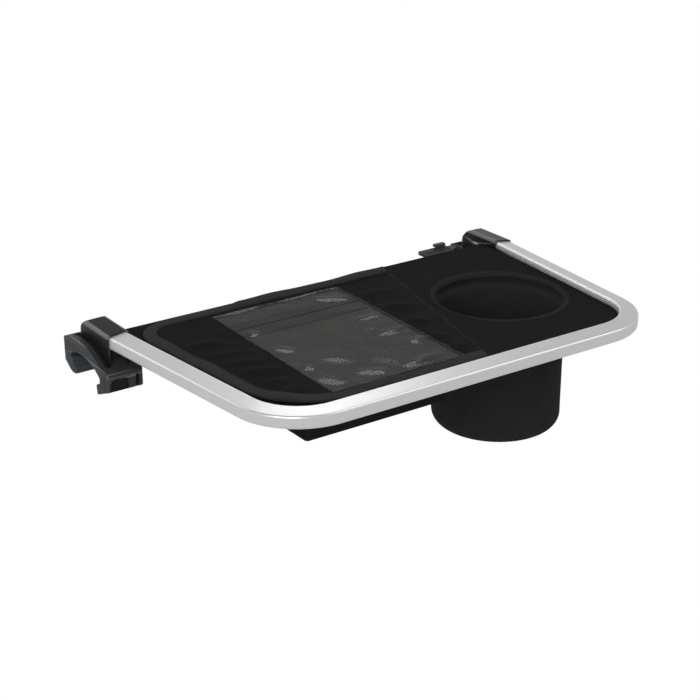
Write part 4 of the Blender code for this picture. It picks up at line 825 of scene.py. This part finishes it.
def ridges(x, y, lines, width, rise):
    """Soft folds: each is a bell curve of the distance to a straight line between two places,
    and dies away to both its ends like half a sine wave."""
    total = np.zeros(np.broadcast(x, y).shape)
    for x0, y0, x1, y1 in lines:
        length = (x1 - x0) ** 2 + (y1 - y0) ** 2
        run = np.clip(((x - x0) * (x1 - x0) + (y - y0) * (y1 - y0)) / length, 0.0, 1.0)
        gap = (x - x0 - run * (x1 - x0)) ** 2 + (y - y0 - run * (y1 - y0)) ** 2
        total = total + rise * np.sin(np.pi * run) * np.exp(-gap / width**2)
    return total


def window_x(y, side):
    """Left or right edge of the window, which leans as it goes back."""
    return side + WINDOW_LEAN * (y - WINDOW_FRONT) / (WINDOW_BACK - WINDOW_FRONT)


under_binding = lid_line(BINDING_WIDTH - LID_TUCK)
left_edge = under_binding[LID_RUN_STEPS - 1 : 1 - LID_RUN_STEPS]
rows = np.concatenate(
    [
        np.linspace(left_edge[0, 1] + LID_TUCK_GAP, WINDOW_FRONT, LID_EDGE_ROWS + 1)[:-1],
        np.linspace(WINDOW_FRONT, WINDOW_BACK, LID_WINDOW_ROWS + 1)[:-1],
        np.linspace(WINDOW_BACK, left_edge[-1, 1] - LID_TUCK_GAP, LID_EDGE_ROWS + 1),
    ]
)
left = np.interp(rows, left_edge[:, 1], left_edge[:, 0])
right = seam_x(rows) - LID_SEAM_GAP
stops = np.linspace(0.0, 1.0, LID_COLUMNS + 1)[:, None]
one = left + (window_x(rows, WINDOW_LEFT) - left) * stops
two = window_x(rows, WINDOW_LEFT) + (WINDOW_RIGHT - WINDOW_LEFT) * stops
three = window_x(rows, WINDOW_RIGHT) + (right - window_x(rows, WINDOW_RIGHT)) * stops
x = np.concatenate([one, two[1:], three[1:]]).T
y = np.broadcast_to(rows[:, None], x.shape)
height = LID_CLOTH_TOP + ridges(x, y, CLOTH_WAVES, WAVE_WIDTH, WAVE_RISE)
across, back, again = LID_RIPPLE_RATES
height = height + LID_RIPPLE * np.sin(y * back + x * across) * np.sin(x * again)
keep = np.ones((len(rows) - 1, x.shape[1] - 1), bool)
keep[LID_EDGE_ROWS:-LID_EDGE_ROWS, LID_COLUMNS:-LID_COLUMNS] = False
lid = surface("lid_cloth", placed(x, y, height), facing=(0, 0, 1), keep=keep)
paint(lid, woven("black_stretch_cloth", STRETCH_BLACK, STRETCH_KNIT))
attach(lid, "pocket_lid")
thicken(lid, LID_CLOTH_THICKNESS)
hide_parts("lid_panel")

# Binding: a smooth dark grey band folded round the lid's three free sides and sewn down. It
# waves a little, as the cloth pulls at it.
BAND_BOTTOM = -0.0027
BAND_TOP = 0.0001
BAND_ROUND = 0.0012
BAND_FOLD_STEPS = 5
BAND_FLAT = (0.0024, 0.0078)
BAND_FLAT_STEPS = 7
BAND_CROWN = 0.0003
BAND_CROWN_TURN = (0.6, 2.9)
BAND_LIP = 0.0006
BAND_LIP_STEPS = 3
BAND_RETURN = 0.0010
BAND_WAVE = 0.00035
BAND_RATES = (95.0, 171.0)
BAND_SECOND = 0.6
BAND_SIDEWAYS = 1.4
BAND_UPWARD = 0.8
BAND_WEAVE = (0.00045, 0.00002, 0.62, 0.03)
BAND_GREY = (0.0270, 0.0270, 0.0280)
BACK_LIFT = 0.0017
BACK_LIFT_FROM = -0.0715
BACK_LIFT_RUN = 0.0022
BACK_LIFT_DEPTH = 0.0120
BACK_LIFT_FADE = 0.25
BACK_LIFT_RATE = 42.0


def back_lift(x, y):
    """Rise of the band along the back, where the cloth pulls it up: it starts with a soft step
    and sinks slowly to the right."""
    step = 0.5 + 0.5 * np.tanh((x - BACK_LIFT_FROM) / BACK_LIFT_RUN)
    slow = 1.0 - BACK_LIFT_FADE * (1.0 - np.cos((x - BACK_LIFT_FROM) * BACK_LIFT_RATE))
    return BACK_LIFT * step * slow * np.clip((y - LID_BACK) / BACK_LIFT_DEPTH + 1.0, 0.0, 1.0)


crown = BAND_TOP + BAND_CROWN * np.sin(np.linspace(*BAND_CROWN_TURN, BAND_FLAT_STEPS))
profile = np.concatenate(
    [
        bow(BAND_ROUND, BAND_BOTTOM + BAND_ROUND, BAND_ROUND, 270.0, 180.0, BAND_FOLD_STEPS),
        bow(BAND_ROUND, BAND_TOP - BAND_ROUND, BAND_ROUND, 180.0, 90.0, BAND_FOLD_STEPS),
        np.stack([np.linspace(*BAND_FLAT, BAND_FLAT_STEPS), crown], 1),
        bow(BINDING_WIDTH - BAND_LIP, BAND_TOP - BAND_LIP, BAND_LIP, 90.0, 0.0, BAND_LIP_STEPS),
        [(BINDING_WIDTH, LID_CLOTH_TOP - BAND_LIP)],
        [(BINDING_WIDTH - BAND_RETURN, BAND_BOTTOM + BAND_LIP)],
        [(BINDING_WIDTH - BAND_RETURN * 2.0, BAND_BOTTOM)],
    ]
)
lines = np.stack([lid_line(inset) for inset in profile[:, 0]], axis=1)
span = np.linalg.norm(np.diff(lines[:, 0], axis=0), axis=1)
length = np.concatenate([[0.0], np.cumsum(span)])[:, None]
sway = np.sin(length * BAND_RATES[0]) + BAND_SECOND * np.sin(length * BAND_RATES[1] + 1.0)
sway = BAND_WAVE * sway
raised = (profile[None, :, 1] - BAND_BOTTOM) / (BAND_TOP - BAND_BOTTOM)
nudge = sway * np.clip(profile[None, :, 0] / BINDING_WIDTH, 0.0, 1.0) * BAND_SIDEWAYS
inward = (lines[:, -1] - lines[:, 0]) / BINDING_WIDTH
grid = placed(
    lines[..., 0] + inward[:, None, 0] * nudge,
    lines[..., 1] + inward[:, None, 1] * nudge,
    profile[None, :, 1] + (sway * BAND_UPWARD + back_lift(lines[..., 0], lines[..., 1])) * raised,
)
band = surface("lid_binding_band", grid, True, True)
paint(band, woven("dark_grey_binding", BAND_GREY, BAND_WEAVE))
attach(band, "pocket_lid")
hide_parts("lid_binding")

# Window: clear flexible film over an open net, both sewn in under the binding. The film puckers
# near its edges, and a flat tape runs across under it near the back.
FILM_TOP = -0.0001
FILM_THICKNESS = 0.0003
FILM_LAP = 0.0014
FILM_GRID = (150, 210)
FILM_RIPPLE = 0.00020
FILM_RIPPLE_RATES = (140.0, 60.0, 115.0)
NET_DROP = 0.0010
NET_THICKNESS = 0.0004
NET_PITCH = 0.0023
NET_GRID = (60, 80)
NET_FOLLOW = 0.3
STRAND_EDGES = (0.35, 0.9)
STRAND_DEPTH = 0.0001
STRAND_STRENGTH = 0.4
TAPE_FRONT = 0.1340
TAPE_BACK = 0.1598
TAPE_CREASE_SHADE = 0.1480
TAPE_CREASE_SHADE_HALF = 0.0020
TAPE_DROP = NET_DROP / 3.0
TAPE_GRID = (80, 24)
TAPE_WEAVE = (0.0006, 0.00001, 0.6, 0.03)
PUCKER_WIDTH = 0.0042
PUCKER_RISE = 0.00082
PUCKERS = (
    (-0.094, 0.052, -0.086, 0.034),
    (-0.072, 0.045, -0.050, 0.034),
    (-0.042, 0.0345, -0.002, 0.0390),
    (-0.125, 0.1795, -0.030, 0.1790),
    (-0.060, 0.1800, 0.035, 0.1785),
    (-0.024, 0.168, 0.004, 0.152),
    (-0.026, 0.087, 0.006, 0.087),
    (-0.014, 0.065, 0.006, 0.065),
    (-0.026, 0.117, 0.006, 0.116),
    (-0.093, 0.109, -0.081, 0.092),
    (-0.095, 0.137, -0.084, 0.134),
    (-0.095, 0.069, -0.086, 0.066),
)
SWELL_WIDTH = 0.0085
SWELL_RISE = 0.00048
SWELLS = (
    (-0.097, 0.087, -0.080, 0.068),
    (-0.068, 0.168, -0.042, 0.161),
    (-0.073, 0.084, -0.060, 0.060),
    (-0.050, 0.082, -0.035, 0.040),
    (-0.060, 0.118, -0.038, 0.102),
    (-0.036, 0.104, 0.004, 0.103),
    (-0.040, 0.132, 0.002, 0.133),
)
FILM_HAZE = (0.003, 0.003, 0.0028)
FILM_OPTICS = {"IOR": 1.60, "Alpha": 0.18, "Specular_IOR_Level": 0.42}
FILM_ROUGHNESS = (0.11, 0.16)
FILM_CLOUD = 180.0
NET_ROUGHNESS = 0.80
NET_WARM = (0.078, 0.075, 0.066)
NET_DARK = (0.002, 0.002, 0.002)
TAPE_GREY = (0.046, 0.046, 0.047)


def window_grid(lap, counts, front=WINDOW_FRONT, back=WINDOW_BACK):
    """Places over the window, let out by a lap, and how far the film puckers there: x runs between
    the leaning edges, y from end to end."""
    y = np.linspace(front - lap / 2.0, back + lap / 2.0, counts[1])[:, None]
    left = window_x(y, WINDOW_LEFT) - lap
    right = window_x(y, WINDOW_RIGHT) + lap
    x = left + (right - left) * np.linspace(0.0, 1.0, counts[0])
    y = np.broadcast_to(y, x.shape)
    swell = ridges(x, y, PUCKERS, PUCKER_WIDTH, PUCKER_RISE)
    swell = swell + ridges(x, y, SWELLS, SWELL_WIDTH, SWELL_RISE)
    across, along_it, again = FILM_RIPPLE_RATES
    return x, y, swell + FILM_RIPPLE * np.sin(x * across + y * along_it) * np.sin(y * again)


x, y, swell = window_grid(FILM_LAP, FILM_GRID)
film = surface("window_film_sheet", placed(x, y, FILM_TOP + swell), facing=(0, 0, 1))
clear_film = substance("clear_film", FILM_HAZE, FILM_ROUGHNESS[1], **FILM_OPTICS)
join(clear_film, spread(clear_film, cloud(clear_film, FILM_CLOUD), *FILM_ROUGHNESS), "Roughness")
paint(film, clear_film)
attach(film, "pocket_lid")
thicken(film, FILM_THICKNESS)
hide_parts("window_film")

x, y, swell = window_grid(FILM_LAP, NET_GRID)
height = LID_CLOTH_TOP - NET_DROP + swell * NET_FOLLOW
net = surface("window_net", placed(x, y, height), facing=(0, 0, 1))
knit = substance("warm_grey_net", NET_DARK, NET_ROUGHNESS)
where = put(knit, "TexCoord").outputs["Object"]
strands = sums(knit, "MAXIMUM", *two_sines(knit, where, NET_PITCH))
edges = {"Value": strands, "From Min": STRAND_EDGES[0], "From Max": STRAND_EDGES[1]}
strands = put(knit, "MapRange", edges).outputs[0]
tint(knit, strands, NET_DARK, NET_WARM)
relief(knit, strands, STRAND_DEPTH, STRAND_STRENGTH)
paint(net, knit)
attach(net, "pocket_lid")
thicken(net, NET_THICKNESS)
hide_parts("window_mesh")

x, y, swell = window_grid(0.0, TAPE_GRID, TAPE_FRONT, TAPE_BACK)
height = LID_CLOTH_TOP - TAPE_DROP + swell * NET_FOLLOW
tape = surface("window_tape", placed(x, y, height), facing=(0, 0, 1))
tape_cloth = woven("smooth_grey_tape", TAPE_GREY, TAPE_WEAVE)
# A dark line along the tape's crease is painted shade.
where = put(tape_cloth, "TexCoord").outputs["Object"]
back = put(tape_cloth, "SeparateXYZ", {0: where}).outputs[1]
aside = sums(tape_cloth, "ABSOLUTE", sums(tape_cloth, "SUBTRACT", back, TAPE_CREASE_SHADE - BAR_TO_FRONT))
fold = put(tape_cloth, "MapRange", {"Value": aside, "From Max": TAPE_CREASE_SHADE_HALF})
tint(tape_cloth, fold.outputs[0], NET_DARK, TAPE_GREY)
paint(tape, tape_cloth)
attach(tape, "pocket_lid")
thicken(tape, NET_THICKNESS)

# Seam and stitching: a narrow roll covers the lid's hinge line, and black thread runs beside it,
# round the binding, round the cup's mouth and down the cup's seam.
PIPING_RADIUS = 0.0006
PIPING_LIFT = 1.3
PIPING_RIPPLE = 0.0001
PIPING_RATE = 300.0
PIPING_ROWS = 90
PIPING_SIDES = 12
PIPING_WEAVE = (0.0006, 0.00001, 0.6, 0.05)
STITCH_LENGTH = 0.0024
STITCH_PITCH = 0.0034
STITCH_RADIUS = 0.00022
STITCH_SIDES = 6
STITCH_STOPS = (0.0, 0.16, 0.5, 0.84, 1.0)
STITCH_GIRTHS = (0.15, 0.85, 1.0, 0.85, 0.15)
STITCH_LEAN = 0.01
STITCH_SINK = 0.3
STITCH_LINE_STEPS = 60
SEAM_STITCHES = (("one", 0.0022), ("two", 0.0040))
MOUTH_STITCHES = (("one", 0.0), ("two", 0.0016))
MOUTH_EASE = 0.0001
MOUTH_STEPS = 120
BAND_STITCH_INSET = 0.0014
BAND_STITCH_LIFT = 0.00025
THREAD = (0.040, 0.040, 0.042)
THREAD_ROUGHNESS = 0.6
THREAD_GLOSS = 0.05
THREAD_TONE = 0.2
THREAD_CLOUD = 2000.0
PIPING_GREY = (0.022, 0.022, 0.023)
along = np.linspace(LID_FRONT + PIPING_RADIUS, LID_BACK - PIPING_RADIUS, PIPING_ROWS)[:, None]
turn = round_turns(PIPING_SIDES)
height = DECK_TOP + PIPING_RADIUS * (PIPING_LIFT + np.sin(turn))
height = height + PIPING_RIPPLE * np.sin(along * PIPING_RATE)
piping = surface(
    "seam_roll", placed(seam_x(along) + PIPING_RADIUS * np.cos(turn), along, height), True, True
)
paint(piping, woven("smooth_grey_piping", PIPING_GREY, PIPING_WEAVE))
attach(piping, "tray")
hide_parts("seam_piping")
thread = substance("black_thread", THREAD, THREAD_ROUGHNESS, Specular_IOR_Level=THREAD_GLOSS)
mottled(thread, cloud(thread, THREAD_CLOUD), THREAD, THREAD_TONE)


def stitches(name, line, body):
    """A row of stitches: short faceted rods with narrow ends, set out along a line of points."""
    steps = np.linalg.norm(np.diff(line, axis=0), axis=1)
    travelled = np.concatenate([[0.0], np.cumsum(steps)])
    count = int(travelled[-1] / STITCH_PITCH)
    middle = (np.arange(count) + 0.5) * STITCH_PITCH
    ends = [
        np.stack([np.interp(middle + shift, travelled, line[:, k]) for k in range(3)], axis=-1)
        for shift in (-STITCH_LENGTH / 2.0, STITCH_LENGTH / 2.0)
    ]
    way = ends[1] - ends[0]
    way /= np.linalg.norm(way, axis=1, keepdims=True)
    side = np.cross(way, (0.0, 0.0, 1.0)) + np.cross(way, (0.0, 1.0, 0.0)) * STITCH_LEAN
    side /= np.linalg.norm(side, axis=1, keepdims=True)
    up = np.cross(side, way)
    share = np.array(STITCH_STOPS)[None, :, None, None]
    girth = np.array(STITCH_GIRTHS)[None, :, None, None] * STITCH_RADIUS
    turn = round_turns(STITCH_SIDES)[None, :, :, None]
    spots = ends[0][:, None, None] + (ends[1] - ends[0])[:, None, None] * share
    spots = spots + girth * (side[:, None, None] * np.cos(turn) + up[:, None, None] * np.sin(turn))
    ring = np.arange(spots[..., 0].size).reshape(spots.shape[:-1])
    ahead = np.roll(ring, -1, axis=2)
    quads = np.stack([ring[:, :-1], ahead[:, :-1], ahead[:, 1:], ring[:, 1:]], axis=-1)
    faces = quads.reshape(-1, 4).tolist() + ring[:, 0, ::-1].tolist() + ring[:, -1].tolist()
    body_mesh = bpy.data.meshes.new(name)
    body_mesh.from_pydata(spots.reshape(-1, 3).tolist(), [], faces)
    with edited(body_mesh) as shape:
        bmesh.ops.recalc_face_normals(shape, faces=shape.faces)
    made = in_scene(name, body_mesh)
    paint(made, thread)
    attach(made, body)


along = np.linspace(LID_FRONT, LID_BACK, STITCH_LINE_STEPS)
for number, aside in SEAM_STITCHES:
    stitches(
        "seam_stitches_" + number,
        placed(seam_x(along) + aside, along, DECK_TOP + STITCH_RADIUS * STITCH_SINK),
        "tray",
    )
round_lid = lid_line(BINDING_WIDTH - BAND_STITCH_INSET)
stitches(
    "binding_stitches",
    placed(*round_lid.T, BAND_TOP + BAND_STITCH_LIFT + back_lift(*round_lid.T)),
    "pocket_lid",
)
mouth = bow(CUP_X, CUP_Y, CUP_RADIUS + MOUTH_EASE, 0.0, 360.0, MOUTH_STEPS)
for number, drop in MOUTH_STITCHES:
    stitches(
        "cup_mouth_stitches_" + number, placed(*mouth.T, cup_top - drop), "tray"
    )
aside = CUP_SEAM_ANGLE + CUP_SEAM_WIDTH * 2.0
beside = (outer + STITCH_RADIUS) * np.array([math.cos(aside), math.sin(aside)])
down = np.linspace(cup_top - CASING_DROP, CUP_BOTTOM + CUP_BOTTOM_ROUND, STITCH_LINE_STEPS)
stitches("cup_seam_stitches", placed(*(cup_centre + beside), down), "tray")

# Clamps: two moulded housings that hook over the handlebar, with soft grips, a toothed strip
# beside each cap, and a ribbed jaw that swings on a steel pin.
SLATE = (0.046, 0.056, 0.064)
PANEL_AND_SLOT_SHADE_BLACK = (0.016, 0.016, 0.017)
PANEL_AND_SLOT_BACK_FACES = (0.1719, 0.1740)
PANEL_FACING = 0.9
RUBBER = (0.018, 0.018, 0.019)
STRIP_BLACK = (0.020, 0.020, 0.021)
SLATE_FINISH = (0.48, 1500.0, 0.00004, 0.10)
RUBBER_FINISH = (0.80, 900.0, 0.00008, 0.10)
STRIP_FINISH = (0.45, 1500.0, 0.00003, 0.10)
PANEL_FINISH = (0.70, 700.0, 0.00010, 0.03)
PIN_ROUGHNESS = (0.20, 0.32)
PIN_CLOUD = 900.0
slate_rubber = moulded("slate_soft_touch", SLATE, SLATE_FINISH)
grip_rubber = moulded("black_grip_rubber", RUBBER, RUBBER_FINISH)
strip_plastic = moulded("black_strip_plastic", STRIP_BLACK, STRIP_FINISH)
pin_steel = substance("turned_steel", STEEL, PIN_ROUGHNESS[0], metallic=1.0)
join(pin_steel, spread(pin_steel, cloud(pin_steel, PIN_CLOUD), *PIN_ROUGHNESS), "Roughness")
# A darker plastic for the sunk panel and the back of each slot; on the slot's back it is painted
# shade.
panel_and_slot_shade_plastic = moulded("dark_panel_and_slot_shade", PANEL_AND_SLOT_SHADE_BLACK, PANEL_FINISH)
for hand in ("left", "right"):
    saddle = dressed(hand + "_saddle", housing_plastic, edge=highlight_edge_plastic)
    paint(saddle, panel_and_slot_shade_plastic)
    # Faces of the sunk panel and of each slot's back take the darker plastic, painted shade in the
    # slot.
    faces = saddle.data.polygons
    deep = read(faces, "center", 3)[:, 1, None] - np.array(PANEL_AND_SLOT_BACK_FACES) + BAR_TO_FRONT
    panel_or_shaded_slot = (np.abs(deep) < EDGE_HOLD).any(axis=1)
    panel_or_shaded_slot &= read(faces, "normal", 3)[:, 1] < -PANEL_FACING
    index = np.where(panel_or_shaded_slot, 2, narrow_faces(saddle.data))
    faces.foreach_set("material_index", index.astype(np.int32))
    dressed(hand + "_arch_grip", grip_rubber)
    dressed(hand + "_tooth_strip", strip_plastic)
    dressed(hand + "_jaw", slate_rubber)
    dressed(hand + "_jaw_pin", pin_steel)

# Release tongue: a flat ribbed lever on the right clamp, hinged on a pin between two ears, with
# a slate block that slides in it.
dressed("right_release_tongue", housing_plastic)
dressed("right_tongue_pin", pin_steel)
dressed("right_release_button", slate_rubber)

# Studio: a pale floor well below the part, a surround that is brighter near the horizon, and four
# soft lamps. Only what the camera sees straight or through the film is plain white.
FLOOR_DROP = 0.35
FLOOR_HALF = 6.0
FLOOR_GREY = (0.80, 0.80, 0.80, 1.0)
WHITE = (1.0, 1.0, 1.0, 1.0)
FLOOR_GLOSS = 0.60
AMBIENT_LOW = 0.64
AMBIENT_HIGH = 0.28
LAMPS = (
    ((-1.2, -1.0, 0.95), 1.1, 15.0),
    ((0.80, -0.55, 1.10), 1.0, 5.0),
    ((-0.55, 1.10, 0.75), 0.9, 3.0),
    ((0.74, 1.07, 1.15), 0.50, 2.5),
)


def seen_straight(mat):
    """Whether the camera sees the spot straight or through the film, and all kinds of ray."""
    rays = put(mat, "LightPath")
    kinds = (rays.outputs["Is Camera Ray"], rays.outputs["Is Transmission Ray"])
    return sums(mat, "MAXIMUM", *kinds), rays


corner = (-FLOOR_HALF, FLOOR_HALF)
spots = np.stack(np.meshgrid(corner, corner, (-FLOOR_DROP,)), axis=-1)[:, :, 0]
floor = surface("studio_floor", spots, facing=(0, 0, 1))
paper = bpy.data.materials.new("white_paper")
paper.use_nodes = True
paper.node_tree.nodes.clear()
matt = put(paper, "BsdfDiffuse", {"Color": FLOOR_GREY})
glow = put(paper, "Emission", {"Color": WHITE, "Strength": 1.0})
seen, rays = seen_straight(paper)
dim = put(paper, "Emission", {"Color": WHITE, "Strength": FLOOR_GLOSS})
glossy = {0: rays.outputs["Is Glossy Ray"], 1: matt.outputs[0], 2: dim.outputs[0]}
under = put(paper, "MixShader", glossy)
blend = put(paper, "MixShader", {0: seen, 1: under.outputs[0], 2: glow.outputs[0]})
put(paper, "OutputMaterial", {0: blend.outputs[0]})
paint(floor, paper)

world = bpy.data.worlds.new("studio")
scene.world = world
world.use_nodes = True
world.node_tree.nodes.clear()
seen = seen_straight(world)[0]
way = put(world, "TexCoord").outputs["Generated"]
rise = put(world, "SeparateXYZ", {0: way}).outputs[2]
around_us = spread(world, rise, AMBIENT_LOW, AMBIENT_HIGH)
strength = put(world, "Mix", {0: seen, 2: around_us, 3: 1.0}, data_type="FLOAT").outputs[0]
sky = put(world, "Background", {"Color": WHITE, "Strength": strength})
put(world, "OutputWorld", {0: sky.outputs[0]})
for number, (spot, size, power) in enumerate(LAMPS):
    lamp = bpy.data.lights.new("soft_lamp_%d" % number, "AREA")
    lamp.shape = "SQUARE"
    lamp.size = size
    lamp.energy = power
    holder = in_scene(lamp.name, lamp)
    holder.location = spot
    holder.rotation_euler = (-Vector(spot)).to_track_quat("-Z", "Y").to_euler()

# Camera: the photograph's angle and lens, for a square picture. It looks at the tray from the
# front left and from above.
CAMERA_SPOT = (-0.6293, -0.9522, 0.4553)
CAMERA_AZIMUTH = math.radians(-34.99)
CAMERA_ELEVATION = math.radians(22.63)
CAMERA_LENS = 86.09
CAMERA_SENSOR = 36.0
ahead = Vector(
    (
        -math.sin(CAMERA_AZIMUTH) * math.cos(CAMERA_ELEVATION),
        math.cos(CAMERA_AZIMUTH) * math.cos(CAMERA_ELEVATION),
        -math.sin(CAMERA_ELEVATION),
    )
)
lens = bpy.data.cameras.new("photo_camera")
lens.lens = CAMERA_LENS
lens.sensor_width = CAMERA_SENSOR
lens.sensor_fit = "HORIZONTAL"
camera = in_scene("photo_camera", lens)
camera.rotation_euler = ahead.to_track_quat("-Z", "Y").to_euler()
camera.location = CAMERA_SPOT
scene.camera = camera
scene.view_settings.view_transform = "Standard"
